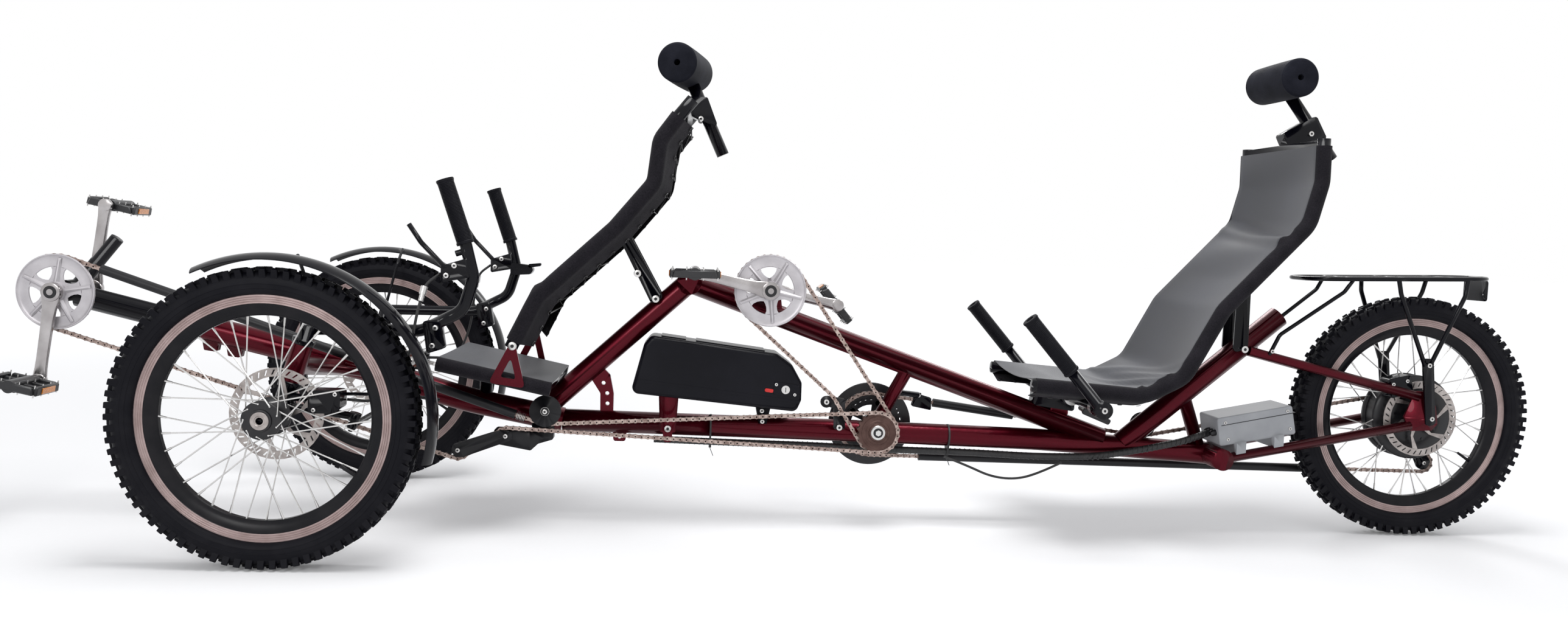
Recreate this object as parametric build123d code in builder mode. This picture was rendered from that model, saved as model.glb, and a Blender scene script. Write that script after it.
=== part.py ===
from build123d import *
from math import asin, atan2, cos, hypot, pi, radians, sin, tan
import os

# Tandem recumbent trike: two steered wheels in front, one driven wheel behind, the
# captain's seat ahead of the stoker's. Millimetres, +X rearward, +Y to the rider's right,
# +Z up. A station is a distance behind the front axle line, and the row origin is on the
# ground under the middle of the trike.

os.makedirs("parts", exist_ok=True)

# ---- driving dimensions -----------------------------------------------------------------
WHEELBASE = 2250.0
TRACK = 760.0
ORIGIN_STATION = 961.0      # station of the row origin
STEER_LIMIT = 25.0          # degrees each way

TYRE_RADIUS = 257.0         # to the knob tips
TYRE_WIDTH = 54.0
KNOBS_A_SIDE = 48
KNOB_GAP = 9.0              # between two shoulder knobs
KNOB_DEPTH = 6.5
KNOB_REACH = 9.0            # how far a gap runs in from the tyre's side
RIM_RADIUS = 209.5
RIM_WIDTH = 30.0
BEAD_RADIUS = 204.0
TRACK_INNER_RADIUS = 195.0  # lower edge of the braking track
RIM_INNER_RADIUS = 174.0
SPOKES_A_SIDE = 18
SPOKE_SIZE = 1.9
SPOKE_LACING = 3.0          # half the gap between leading and trailing spokes at the hub
ROTOR_RADIUS = 80.0
ROTOR_THICKNESS = 2.0
AXLE_RADIUS = 6.0
RUNNING_FIT = 0.05          # radial clearance of every shaft in its bore

MAIN_TUBE_OD = 50.0
BOOM_OD = 44.0
FRAME_TUBE_OD = 44.0
LOWER_TUBE_OD = 45.0
CROSS_BEAM_OD = 32.0
HEAD_TUBE_OD = 36.0
HEAD_TUBE_LENGTH = 68.0
STAY_OD = 20.0
BAR_OD = 22.0
GRIP_OD = 31.0
SEAT_TUBE_OD = 25.0

CAPTAIN_BB = (-500.0, 439.0)
STOKER_BB = (865.0, 484.0)
JACKSHAFT = (1093.0, 203.0)
CAPTAIN_CRANK_LENGTH = 170.0
STOKER_CRANK_LENGTH = 155.0
SPINDLE_RADIUS = 8.0
PEDAL_PIN_RADIUS = 5.0

CAPTAIN_CHAIN_Y = -61.0     # chain lines, offsets from the middle plane
STOKER_CHAIN_Y = -49.0
DRIVE_CHAIN_Y = 50.5
CHAIN_HALF_HEIGHT = 4.5
CHAIN_WIDTH = 6.0

KINGPIN_Y = 270.0
KINGPIN_MID = (14.0, 340.0)     # station and height of the head tube's middle
CASTER = 17.0                   # degrees the head tube leans back
KINGPIN_RADIUS = 13.0


def at(station, height, side=0.0):
    """A point of the row frame from its station, height and offset to the right."""
    return Vector(station - ORIGIN_STATION, side, height)


def tube(points, diameter, bend=0.0):
    """A round tube along straight runs, with equal bends where a bend is given."""
    with BuildPart() as made:
        with BuildLine() as run:
            if bend:
                FilletPolyline(*points, radius=bend)
            else:
                Polyline(*points)
        with BuildSketch(Plane(origin=run.line @ 0, z_dir=run.line % 0)):
            Circle(diameter / 2)
        sweep(path=run.line)
    return made.part


def disc(station, height, side, radius, width):
    """A disc or short bar about a cross axis, centred on the given offset."""
    with BuildPart() as made:
        with BuildSketch(Plane(origin=at(station, height, side), z_dir=(0, 1, 0))):
            Circle(radius)
        extrude(amount=width / 2, both=True)
    return made.part


def side_plate(outline, side, thickness, corner=0.0):
    """A flat plate standing along the trike, from (station, height) corners."""
    with BuildPart() as made:
        with BuildSketch(Plane(origin=(0, side, 0), x_dir=(1, 0, 0), z_dir=(0, -1, 0))):
            with BuildLine():
                corners = [(station - ORIGIN_STATION, height) for station, height in outline]
                if corner:
                    FilletPolyline(*corners, radius=corner, close=True)
                else:
                    Polyline(*corners, close=True)
            make_face()
        extrude(amount=thickness / 2, both=True)
    return made.part


def turned(station, height, side, profile, facing=1):
    """A turned piece about a cross axis, from (offset, radius) corners facing out."""
    centre = at(station, height, side)
    with BuildPart() as made:
        with BuildSketch(Plane(origin=centre, x_dir=(0, facing, 0), z_dir=(facing, 0, 0))):
            with BuildLine():
                Polyline(*profile, close=True)
            make_face()
        revolve(axis=Axis(centre, (0, 1, 0)))
    return made.part


# ---- wheels -----------------------------------------------------------------------------
# name, station, offset, side that faces out, hub's outline, spoke flange offsets and
# radius, turn from a spoke's hub hole to its rim hole, rotor offset
FRONT_HUB = (
    (-52, 6.05), (-52, 22), (-47, 22), (-43, 16), (-28, 16), (-27, 33), (-23, 33),
    (-20, 17), (20, 17), (23, 33), (27, 33), (28, 18), (34, 18), (36, 15), (36, 0),
    (31, 0), (31, 6.05),
)
MOTOR_HUB = (
    (-58, 6.05), (-58, 20), (-34, 22), (-31, 60), (-27, 84), (-24, 90), (24, 90),
    (27, 84), (31, 60), (33, 20), (58, 18), (58, 6.05),
)
WHEELS = (
    ("front_left", 0.0, -TRACK / 2, -1, FRONT_HUB, 25.0, 28.0, 62.0, -50.0),
    ("front_right", 0.0, TRACK / 2, 1, FRONT_HUB, 25.0, 28.0, 62.0, -50.0),
    ("rear", WHEELBASE, 0.0, 1, MOTOR_HUB, 20.0, 86.0, 16.0, -47.0),
)
ROTOR_WINDOWS = 6
CASSETTE = ((37.0, 54.0), (41.5, 48.0), (46.0, 42.0), (50.5, 36.0), (55.0, 30.0))

# half of the tyre's section as (offset, radius), from the bead to the tread's flat crown
TYRE_SECTION = (
    (12.5, BEAD_RADIUS), (12.5, RIM_RADIUS), (23, 216), (TYRE_WIDTH / 2, 228),
    (TYRE_WIDTH / 2, 241), (24, 252), (17, TYRE_RADIUS),
)
knob_gaps = []
for hand in (-1, 1):
    first = (1 + hand / 2) * 180 / KNOBS_A_SIDE     # the two rows are staggered
    gap_place = Location((0, hand * (TYRE_WIDTH / 2 - KNOB_REACH / 2 + 1), TYRE_RADIUS))
    for step in range(KNOBS_A_SIDE):
        turn = Location((0, 0, 0), (0, first + step * 360 / KNOBS_A_SIDE, 0))
        knob_gaps.append(turn * gap_place)
with BuildPart() as tyre:
    with BuildSketch(Plane(origin=(0, 0, 0), x_dir=(0, 1, 0), z_dir=(1, 0, 0))):
        with BuildLine():
            Polyline(*TYRE_SECTION, *[(-y, radius) for y, radius in reversed(TYRE_SECTION)],
                     close=True)
        make_face()
    revolve(axis=Axis.Y)
    with Locations(knob_gaps):
        Box(KNOB_GAP, KNOB_REACH + 2, 2 * KNOB_DEPTH, mode=Mode.SUBTRACT)

for name, station, side, out, hub_outline, flange, hole_radius, lead, rotor_y in WHEELS:
    centre = at(station, TYRE_RADIUS, side)
    wheel_tyre = tyre.part.moved(Location(centre))
    wheel_tyre.label = f"{name}_tyre"
    export_step(wheel_tyre, f"parts/{name}_tyre.step")

    rim = turned(station, TYRE_RADIUS, side, (
        (-RIM_WIDTH / 2, RIM_RADIUS), (-12.5, RIM_RADIUS), (-12.5, BEAD_RADIUS),
        (12.5, BEAD_RADIUS), (12.5, RIM_RADIUS), (RIM_WIDTH / 2, RIM_RADIUS),
        (RIM_WIDTH / 2, TRACK_INNER_RADIUS), (7, RIM_INNER_RADIUS),
        (-7, RIM_INNER_RADIUS), (-RIM_WIDTH / 2, TRACK_INNER_RADIUS),
    ))
    rim.label = f"{name}_rim"
    export_step(rim, f"parts/{name}_rim.step")

    with BuildPart() as hub:
        add(turned(station, TYRE_RADIUS, side, hub_outline, out))
        with BuildSketch(Plane(origin=centre + (0, out * rotor_y, 0), z_dir=(0, 1, 0))):
            Circle(ROTOR_RADIUS)
            with PolarLocations(48, ROTOR_WINDOWS):
                SlotOverall(30, 20, mode=Mode.SUBTRACT)
            with PolarLocations(73, 4 * ROTOR_WINDOWS):
                Circle(2.6, mode=Mode.SUBTRACT)
            Circle(19, mode=Mode.SUBTRACT)
        extrude(amount=ROTOR_THICKNESS / 2, both=True)
        if name == "rear":
            for offset, radius in CASSETTE:
                add(disc(station, TYRE_RADIUS, offset, radius, 2))
            add(disc(station, TYRE_RADIUS, 40, AXLE_RADIUS + RUNNING_FIT, 60),
                mode=Mode.SUBTRACT)
    hub.part.label = f"{name}_hub"
    export_step(hub.part, f"parts/{name}_hub.step")

    with BuildPart() as spokes:
        for hub_side in (-1, 1):
            for step in range(SPOKES_A_SIDE):
                turn = 1 if step % 2 else -1
                rim_angle = radians(step * 20 + (10 if hub_side > 0 else 0))
                hub_angle = rim_angle + radians(lead) * turn
                start = centre + (
                    hole_radius * cos(hub_angle),
                    hub_side * flange + turn * SPOKE_LACING,
                    hole_radius * sin(hub_angle),
                )
                end = centre + (
                    RIM_INNER_RADIUS * 1.004 * cos(rim_angle),
                    hub_side * 3,
                    RIM_INNER_RADIUS * 1.004 * sin(rim_angle),
                )
                with BuildSketch(Plane(origin=start, z_dir=end - start)):
                    Rectangle(SPOKE_SIZE, SPOKE_SIZE)
        extrude(amount=(end - start).length)
        add(rim, mode=Mode.SUBTRACT)
        add(hub.part, mode=Mode.SUBTRACT)
    spokes.part.label = f"{name}_spokes"
    export_step(spokes.part, f"parts/{name}_spokes.step")

# ---- boom with its bottom bracket shell and accessory post ---------------------------------
BOOM_SLOPE = 0.2345
BOOM_FRONT = (-490.0, 428.6)
BOOM_END = (-110.0, 339.5)
POST_FOOT = (-488.0, 452.0)
POST_TOP = (-417.0, 543.0)
POST_OD = 25.0
POST_LENGTH = 60.0          # of the bare end that a clamp goes on
POST_SLEEVE_OD = 28.0
BB_SHELL_OD = 42.0
BB_SHELL_WIDTH = 68.0

with BuildPart() as boom:
    add(tube([at(*BOOM_FRONT), at(*BOOM_END)], BOOM_OD))
    add(disc(*CAPTAIN_BB, 0, BB_SHELL_OD / 2, BB_SHELL_WIDTH))
    post_run = (at(*POST_TOP) - at(*POST_FOOT)).normalized()
    add(tube([at(*POST_FOOT), at(*POST_TOP)], POST_OD))
    add(tube([at(*POST_FOOT), at(*POST_TOP) - post_run * POST_LENGTH], POST_SLEEVE_OD))
    add(disc(*CAPTAIN_BB, 0, SPINDLE_RADIUS + RUNNING_FIT, BB_SHELL_WIDTH + 2),
        mode=Mode.SUBTRACT)
boom.part.label = "boom"
export_step(boom.part, "parts/boom.step")

# ---- welded frame ---------------------------------------------------------------------------
JOIN_STATION = 455.0        # where the front and the rear frame couple
with BuildPart() as main_tube:
    add(tube([at(-255, 373.5), at(67, 298), at(261, 242), at(JOIN_STATION, 205)],
             MAIN_TUBE_OD, 700))
    for clamp in (-236, -190):
        clamp_height = 369 - BOOM_SLOPE * (clamp + 236)
        add(side_plate([(clamp - 12, clamp_height - 40), (clamp + 10, clamp_height - 43),
                        (clamp + 16, clamp_height - 15), (clamp - 16, clamp_height - 15)],
                       0, 24, 3))
    add(boom.part, mode=Mode.SUBTRACT)
main_tube.part.label = "main_tube"
export_step(main_tube.part, "parts/main_tube.step")

lean = Vector(sin(radians(CASTER)), 0, cos(radians(CASTER)))
with BuildPart() as cross_beam:
    for hand in (-1, 1):
        mid = at(*KINGPIN_MID, hand * KINGPIN_Y)
        add(tube([at(14, 300, 0), at(14, 334, hand * KINGPIN_Y)], CROSS_BEAM_OD))
        add(tube([mid - lean * HEAD_TUBE_LENGTH / 2, mid + lean * HEAD_TUBE_LENGTH / 2],
                 HEAD_TUBE_OD))
        add(tube([at(120, 284, 0), at(22, 313, hand * 120)], 16))
    for hand in (-1, 1):
        mid = at(*KINGPIN_MID, hand * KINGPIN_Y)
        add(tube([mid - lean * HEAD_TUBE_LENGTH, mid + lean * HEAD_TUBE_LENGTH],
                 2 * (KINGPIN_RADIUS + RUNNING_FIT)), mode=Mode.SUBTRACT)
    add(main_tube.part, mode=Mode.SUBTRACT)
cross_beam.part.label = "cross_beam"
export_step(cross_beam.part, "parts/cross_beam.step")

with BuildPart() as lower_tube:
    add(tube([at(JOIN_STATION, 205), at(1049, 196), at(1437, 187), at(1812, 165)],
             LOWER_TUBE_OD, 1500))
    add(disc(*JACKSHAFT, 0, BB_SHELL_OD / 2, BB_SHELL_WIDTH))
    add(side_plate([(555, 190), (585, 190), (582, 164), (558, 164)], 0, 8, 5))
    add(side_plate([(648, 265), (688, 262), (684, 188), (652, 188)], 0, 52, 4))
    for hand in (-1, 1):
        add(side_plate([(656, 210), (680, 210), (676, 168), (660, 168)], hand * 24, 4, 5))
    add(disc(570, 172, 0, 3.25, 20), mode=Mode.SUBTRACT)
    add(disc(*JACKSHAFT, 0, SPINDLE_RADIUS + RUNNING_FIT, BB_SHELL_WIDTH + 2),
        mode=Mode.SUBTRACT)
    add(disc(1814, 164, 0, FRAME_TUBE_OD / 2, 160), mode=Mode.SUBTRACT)
    add(main_tube.part, mode=Mode.SUBTRACT)
lower_tube.part.label = "lower_tube"
export_step(lower_tube.part, "parts/lower_tube.step")

RISER_FOOT = (400.0, 212.0)
RISER_TOP = (703.0, 494.0)
with BuildPart() as upper_tube:
    add(tube([at(*RISER_TOP), at(1578, 192)], FRAME_TUBE_OD))
    add(disc(*STOKER_BB, 0, BB_SHELL_OD / 2, BB_SHELL_WIDTH))
    add(side_plate([(845, 470), (890, 470), (895, 430), (840, 450)], 0, 30))
    add(disc(*RISER_TOP, 0, 25, 44))
    add(tube([at(1155, 320), at(*JACKSHAFT)], 28))
    add(side_plate([(1462, 250), (1500, 240), (1500, 268), (1466, 272)], 0, 30, 4))
    add(disc(*STOKER_BB, 0, SPINDLE_RADIUS + RUNNING_FIT, BB_SHELL_WIDTH + 2),
        mode=Mode.SUBTRACT)
    add(disc(*JACKSHAFT, 0, SPINDLE_RADIUS + RUNNING_FIT, BB_SHELL_WIDTH + 2),
        mode=Mode.SUBTRACT)
    add(lower_tube.part, mode=Mode.SUBTRACT)
upper_tube.part.label = "upper_tube"
export_step(upper_tube.part, "parts/upper_tube.step")

with BuildPart() as front_riser:
    add(tube([at(*RISER_FOOT), at(*RISER_TOP)], FRAME_TUBE_OD))
    add(main_tube.part, mode=Mode.SUBTRACT)
    add(lower_tube.part, mode=Mode.SUBTRACT)
    add(upper_tube.part, mode=Mode.SUBTRACT)
front_riser.part.label = "front_riser"
export_step(front_riser.part, "parts/front_riser.step")

with BuildPart() as coupling_plate:
    add(side_plate([(492, 300), (520, 328), (548, 300), (556, 262), (556, 210),
                    (530, 210), (529, 262), (512, 288)], 0, 10, 9))
    for hole_station, hole_height in ((535, 283), (543, 262), (544, 241)):
        add(disc(hole_station, hole_height, 0, 4, 20), mode=Mode.SUBTRACT)
    add(front_riser.part, mode=Mode.SUBTRACT)
    add(lower_tube.part, mode=Mode.SUBTRACT)
coupling_plate.part.label = "coupling_plate"
export_step(coupling_plate.part, "parts/coupling_plate.step")

REAR_RISER_TOP = (1950.0, 462.0)
with BuildPart() as rear_riser:
    add(tube([at(1622, 183), at(*REAR_RISER_TOP)], LOWER_TUBE_OD))
    add(tube([at(1795, 165), at(1752, 290)], 28))
    add(lower_tube.part, mode=Mode.SUBTRACT)
    add(upper_tube.part, mode=Mode.SUBTRACT)
    add(disc(1814, 164, 0, FRAME_TUBE_OD / 2, 160), mode=Mode.SUBTRACT)
rear_riser.part.label = "rear_riser"
export_step(rear_riser.part, "parts/rear_riser.step")

DROPOUT_Y = 68.0
with BuildPart() as lower_stays:
    add(disc(1814, 164, 0, FRAME_TUBE_OD / 2, 150))
    for hand in (-1, 1):
        add(tube([at(1814, 164, hand * 62), at(2215, 245, hand * DROPOUT_Y)], STAY_OD))
        add(side_plate([(2200, 262), (2222, 318), (2250, 318), (2268, 285), (2274, 250),
                        (2262, 236), (2215, 234)], hand * DROPOUT_Y, 6, 4))
    add(disc(WHEELBASE, TYRE_RADIUS, 0, AXLE_RADIUS, 2 * DROPOUT_Y + 26))
lower_stays.part.label = "lower_stays"
export_step(lower_stays.part, "parts/lower_stays.step")

with BuildPart() as upper_stays:
    for hand in (-1, 1):
        add(tube([at(1880, 388, hand * 22), at(2230, 306, hand * DROPOUT_Y)], STAY_OD))
    add(rear_riser.part, mode=Mode.SUBTRACT)
    add(lower_stays.part, mode=Mode.SUBTRACT)
upper_stays.part.label = "upper_stays"
export_step(upper_stays.part, "parts/upper_stays.step")

# ---- steering: knuckles, bars and mudguards -----------------------------------------------------
TIE_ROD = (110.0, 228.0)
TIE_ROD_Y = KINGPIN_Y         # arms parallel to the wheels, so both wheels turn alike
BAR_POINTS = ((40, 400), (228, 402), (300, 440), (318, 500), (303, 560), (266, 668))
TIE_PIN_RADIUS = 4.0
STEER_LIFT = 0.5            # gap between a headset cup and its head tube

for name, hand in (("left", -1), ("right", 1)):
    mid = at(*KINGPIN_MID, hand * KINGPIN_Y)
    foot = mid - lean * (HEAD_TUBE_LENGTH / 2 + STEER_LIFT)
    head = mid + lean * (HEAD_TUBE_LENGTH / 2 + STEER_LIFT)
    pin = at(*TIE_ROD, hand * TIE_ROD_Y)
    with BuildPart() as knuckle:
        add(side_plate([(58, 302), (112, 302), (112, 272), (98, 262), (58, 262)],
                       hand * (TRACK / 2 - 50), 40, 6))
        add(disc(84, 283, hand * (TRACK / 2 - 72), 15, 12))
        add(disc(0, TYRE_RADIUS, hand * (TRACK / 2 - 50), ROTOR_RADIUS + 1.5, 4),
            mode=Mode.SUBTRACT)
        add(tube([foot - lean * 30, head + lean * 34], 2 * KINGPIN_RADIUS))
        add(tube([foot - lean * 12, foot], 40))
        add(tube([head, head + lean * 10], 40))
        add(tube([foot - lean * 58, foot - lean * 12], 34))
        add(disc(0, TYRE_RADIUS, hand * (KINGPIN_Y + 28), 13, 56))
        add(disc(0, TYRE_RADIUS, hand * (KINGPIN_Y + 70), AXLE_RADIUS, 140))
        add(tube([foot - lean * 46, pin + lean * 18], 14))
        add(tube([pin + lean * 9.5, pin + lean * 25], 20))
        add(tube([pin - lean * 10, pin + lean * 12], 2 * TIE_PIN_RADIUS))
        add(tube([foot - lean * 30, at(70, 282, hand * (TRACK / 2 - 66))], 14))
    knuckle.part.label = f"{name}_knuckle"
    export_step(knuckle.part, f"parts/{name}_knuckle.step")

    with BuildPart() as handlebar:
        bar_y = hand * 262
        add(tube([at(s, h, bar_y) for s, h in BAR_POINTS], BAR_OD, 40))
        add(side_plate([(232, 420), (262, 424), (270, 372), (240, 362)], bar_y, 26, 5))
        add(side_plate([(262, 520), (308, 535), (312, 500), (262, 490)], bar_y, 22, 4))
        add(tube([at(272, 512, bar_y), at(225, 560, bar_y), at(203, 592, bar_y)], 9, 30))
        add(knuckle.part, mode=Mode.SUBTRACT)
    handlebar.part.label = f"{name}_handlebar"
    export_step(handlebar.part, f"parts/{name}_handlebar.step")

    with BuildPart() as grip:
        add(tube([at(303, 560, bar_y), at(264, 674, bar_y)], GRIP_OD))
        add(handlebar.part, mode=Mode.SUBTRACT)
    grip.part.label = f"{name}_grip"
    export_step(grip.part, f"parts/{name}_grip.step")

    guard_centre = at(4, TYRE_RADIUS, hand * TRACK / 2)
    with BuildPart() as mudguard:
        with BuildSketch(Plane(origin=guard_centre, x_dir=(0, 1, 0), z_dir=(1, 0, 0))):
            with BuildLine():
                ThreePointArc((-30, 268), (0, 278), (30, 268))
                Line((30, 268), (30, 270))
                ThreePointArc((30, 270), (0, 280), (-30, 270))
                Line((-30, 270), (-30, 268))
            make_face()
        revolve(axis=Axis(guard_centre, (0, 1, 0)), revolution_arc=131)
    guard = mudguard.part.rotate(Axis(guard_centre, (0, 1, 0)), -26)
    with BuildPart() as mudguard:
        add(guard)
        inner = hand * (TRACK / 2 - 52)
        add(tube([at(26, 400, inner - hand * 44), at(42, 500, inner - hand * 4),
                  at(44, 533, hand * (TRACK / 2 - 16))], 6, 15))
        add(tube([at(66, 290, hand * (TRACK / 2 - 76)), at(200, 292, hand * (TRACK / 2 - 76)),
                  at(280, 292, hand * (TRACK / 2 - 22))], 6, 30))
        add(knuckle.part, mode=Mode.SUBTRACT)
    mudguard.part.label = f"{name}_mudguard"
    export_step(mudguard.part, f"parts/{name}_mudguard.step")

with BuildPart() as tie_rod:
    add(tube([at(*TIE_ROD, 4 - TIE_ROD_Y), at(*TIE_ROD, TIE_ROD_Y - 4)], 11))
    for hand, clearance in ((-1, RUNNING_FIT), (1, 0.5)):
        pin = at(*TIE_ROD, hand * TIE_ROD_Y)
        with Locations(pin):
            Sphere(9)
        add(tube([pin - lean * 11, pin + lean * 11], 2 * (TIE_PIN_RADIUS + clearance)),
            mode=Mode.SUBTRACT)
tie_rod.part.label = "tie_rod"
export_step(tie_rod.part, "parts/tie_rod.step")

# ---- cranks, cross shaft and pedals ---------------------------------------------------------------
CRANK_ARM_WIDTH = 12.0
CHAINRING_RADIUS = 64.0
CHAINRING_TEETH = 34
TOOTH_GULLET = 3.9          # radius of the round gap between two teeth
GUARD_RADIUS = 72.5
GUARD_RING_INNER = 48.0
GUARD_HUB_RADIUS = 25.0
GUARD_ARMS = 5
GUARD_ARM_WIDTH = 14.0
CHAIN_GAP = 0.5             # from a sprocket's tips to the inside of its chain

# name, bottom bracket, chain line, crank length, degrees the left arm points below level ahead
CRANKSETS = (
    ("captain", CAPTAIN_BB, CAPTAIN_CHAIN_Y, CAPTAIN_CRANK_LENGTH, 82.0),
    ("stoker", STOKER_BB, STOKER_CHAIN_Y, STOKER_CRANK_LENGTH, -12.0),
)
PEDAL_LENGTH = 100.0
PEDAL_WIDTH = 92.0
PEDAL_THICKNESS = 20.0
PEDAL_TILT = {              # degrees that a pedal's rear edge hangs down at rest
    ("captain", "left"): 12.0, ("captain", "right"): 12.0,
    ("stoker", "left"): 0.0, ("stoker", "right"): 50.0,
}


def facing_left(centre, side):
    """A sketch plane across a shaft, seen from the riders' left."""
    return Plane(origin=centre + (0, side, 0), x_dir=(1, 0, 0), z_dir=(0, -1, 0))


def toothed_ring(radius, teeth, bore):
    """A sprocket's outline, with a round gullet between its teeth."""
    Circle(radius)
    Circle(bore, mode=Mode.SUBTRACT)
    with PolarLocations(radius, teeth):
        Circle(TOOTH_GULLET, mode=Mode.SUBTRACT)


for name, bracket, chain_y, crank_length, droop in CRANKSETS:
    arm_y = -chain_y + 18
    centre = at(*bracket)
    with BuildPart() as crankset:
        add(disc(*bracket, 0, SPINDLE_RADIUS, 2 * arm_y))
        with BuildSketch(facing_left(centre, chain_y)):
            toothed_ring(CHAINRING_RADIUS, CHAINRING_TEETH, CHAINRING_RADIUS - 10)
        extrude(amount=1, both=True)
        with BuildSketch(facing_left(centre, chain_y - 5)):
            Circle(GUARD_RADIUS)
            Circle(GUARD_RING_INNER, mode=Mode.SUBTRACT)
            Circle(GUARD_HUB_RADIUS)
            with PolarLocations(GUARD_RING_INNER / 2, GUARD_ARMS,
                                start_angle=180 + droop + 180 / GUARD_ARMS):
                Rectangle(GUARD_RING_INNER + 4, GUARD_ARM_WIDTH)
        extrude(amount=2, both=True)
        with BuildSketch(facing_left(centre, chain_y - 2)):
            with PolarLocations(CHAINRING_RADIUS - 6, GUARD_ARMS,
                                start_angle=180 + droop + 180 / GUARD_ARMS):
                Circle(5)
        extrude(amount=2, both=True)
        add(disc(*bracket, chain_y - 6, 20, 14))
        for hand in (-1, 1):
            swing = radians(180 + droop) if hand < 0 else radians(droop)
            reach = Vector(cos(swing), 0, sin(swing)) * crank_length
            with BuildSketch(Plane(origin=centre + (0, hand * arm_y, 0), x_dir=(1, 0, 0),
                                   z_dir=(0, -1, 0))):
                with Locations((0, 0)):
                    Circle(18)
                with Locations((reach.X, reach.Z)):
                    Circle(13)
                make_hull()
            extrude(amount=CRANK_ARM_WIDTH / 2, both=True)
            end = centre + reach + (0, hand * arm_y, 0)
            add(tube([end, end + (0, hand * 60, 0)], 2 * PEDAL_PIN_RADIUS))
    crankset.part.label = f"{name}_crankset"
    export_step(crankset.part, f"parts/{name}_crankset.step")

    for side_name, hand in (("left", -1), ("right", 1)):
        swing = radians(180 + droop) if hand < 0 else radians(droop)
        pin = centre + Vector(cos(swing), 0, sin(swing)) * crank_length
        middle = pin + (0, hand * (arm_y + 14 + PEDAL_WIDTH / 2), 0)
        with BuildPart() as pedal:
            with BuildSketch(Plane(origin=middle)):
                RectangleRounded(PEDAL_LENGTH, PEDAL_WIDTH, 14)
                with Locations((-26, 0), (26, 0)):
                    RectangleRounded(28, PEDAL_WIDTH - 22, 5, mode=Mode.SUBTRACT)
            extrude(amount=PEDAL_THICKNESS / 2, both=True)
            add(tube([middle - (0, PEDAL_WIDTH / 2, 0), middle + (0, PEDAL_WIDTH / 2, 0)], 24))
            add(tube([middle - (0, hand * 60, 0), middle + (0, hand * 8, 0)],
                     2 * (PEDAL_PIN_RADIUS + RUNNING_FIT)), mode=Mode.SUBTRACT)
        tilted = pedal.part.rotate(Axis(pin, (0, 1, 0)), PEDAL_TILT[name, side_name])
        tilted.label = f"{name}_pedal_{side_name}"
        export_step(tilted, f"parts/{name}_pedal_{side_name}.step")

FREEWHEEL_RADIUS = 36.0
FREEWHEEL_TEETH = 20
DRIVE_RING_RADIUS = 61.0
DRIVE_RING_TEETH = 33
DRIVE_GUARD_RADIUS = 88.0
DRIVE_GUARD_SLOTS = 20
with BuildPart() as jackshaft:
    add(disc(*JACKSHAFT, -3, SPINDLE_RADIUS, 138))
    add(disc(*JACKSHAFT, -55, 28, 22))
    for chain_y in (CAPTAIN_CHAIN_Y, STOKER_CHAIN_Y):
        with BuildSketch(facing_left(at(*JACKSHAFT), chain_y)):
            toothed_ring(FREEWHEEL_RADIUS, FREEWHEEL_TEETH, SPINDLE_RADIUS)
        extrude(amount=1, both=True)
    add(disc(*JACKSHAFT, 54, 20, 20))
    with BuildSketch(facing_left(at(*JACKSHAFT), DRIVE_CHAIN_Y)):
        toothed_ring(DRIVE_RING_RADIUS, DRIVE_RING_TEETH, SPINDLE_RADIUS)
        with PolarLocations(38, GUARD_ARMS):
            Circle(11, mode=Mode.SUBTRACT)
    extrude(amount=1, both=True)
    with BuildSketch(facing_left(at(*JACKSHAFT), DRIVE_CHAIN_Y + 7.5)):
        Circle(DRIVE_GUARD_RADIUS)
        with PolarLocations(67, DRIVE_GUARD_SLOTS):
            Rectangle(4, 12, mode=Mode.SUBTRACT)
        with PolarLocations(38, GUARD_ARMS):
            Circle(14, mode=Mode.SUBTRACT)
    extrude(amount=1.5, both=True)
jackshaft.part.label = "jackshaft"
export_step(jackshaft.part, "parts/jackshaft.step")

# ---- chains, their tubes and guides --------------------------------------------------------------
# station, height, radius and sense of each wheel round a loop, taken from the front wheel
# along the bottom run; a wheel that presses from outside has sense -1
CAPTAIN_LOOP = (
    (*CAPTAIN_BB, 69.0, 1), (258, 150, 18, 1), (350, 180, 16, -1),
    (*JACKSHAFT, 41.0, 1), (426, 231, 26, -1),
)
STOKER_LOOP = ((*STOKER_BB, 69.0, 1), (987, 262, 17, -1), (*JACKSHAFT, 41.0, 1))
DRIVE_LOOP = (
    (*JACKSHAFT, 66.0, 1), (2325, 146, 20, 1), (2292, 192, 20, -1),
    (WHEELBASE, TYRE_RADIUS, 41.0, 1), (1687, 215, 24, -1),
)


def tangent(first, second, grow=0.0):
    """Both ends of the straight chain run between two wheels of a loop."""
    ax, az, a_radius, a_sense = first
    bx, bz, b_radius, b_sense = second
    a_radius = a_sense * a_radius + grow
    b_radius = b_sense * b_radius + grow
    span = hypot(bx - ax, bz - az)
    heading = atan2(bz - az, bx - ax) - asin((b_radius - a_radius) / span)
    normal = (-sin(heading), cos(heading))
    return (
        (ax - a_radius * normal[0], az - a_radius * normal[1]),
        (bx - b_radius * normal[0], bz - b_radius * normal[1]),
    )


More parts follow.
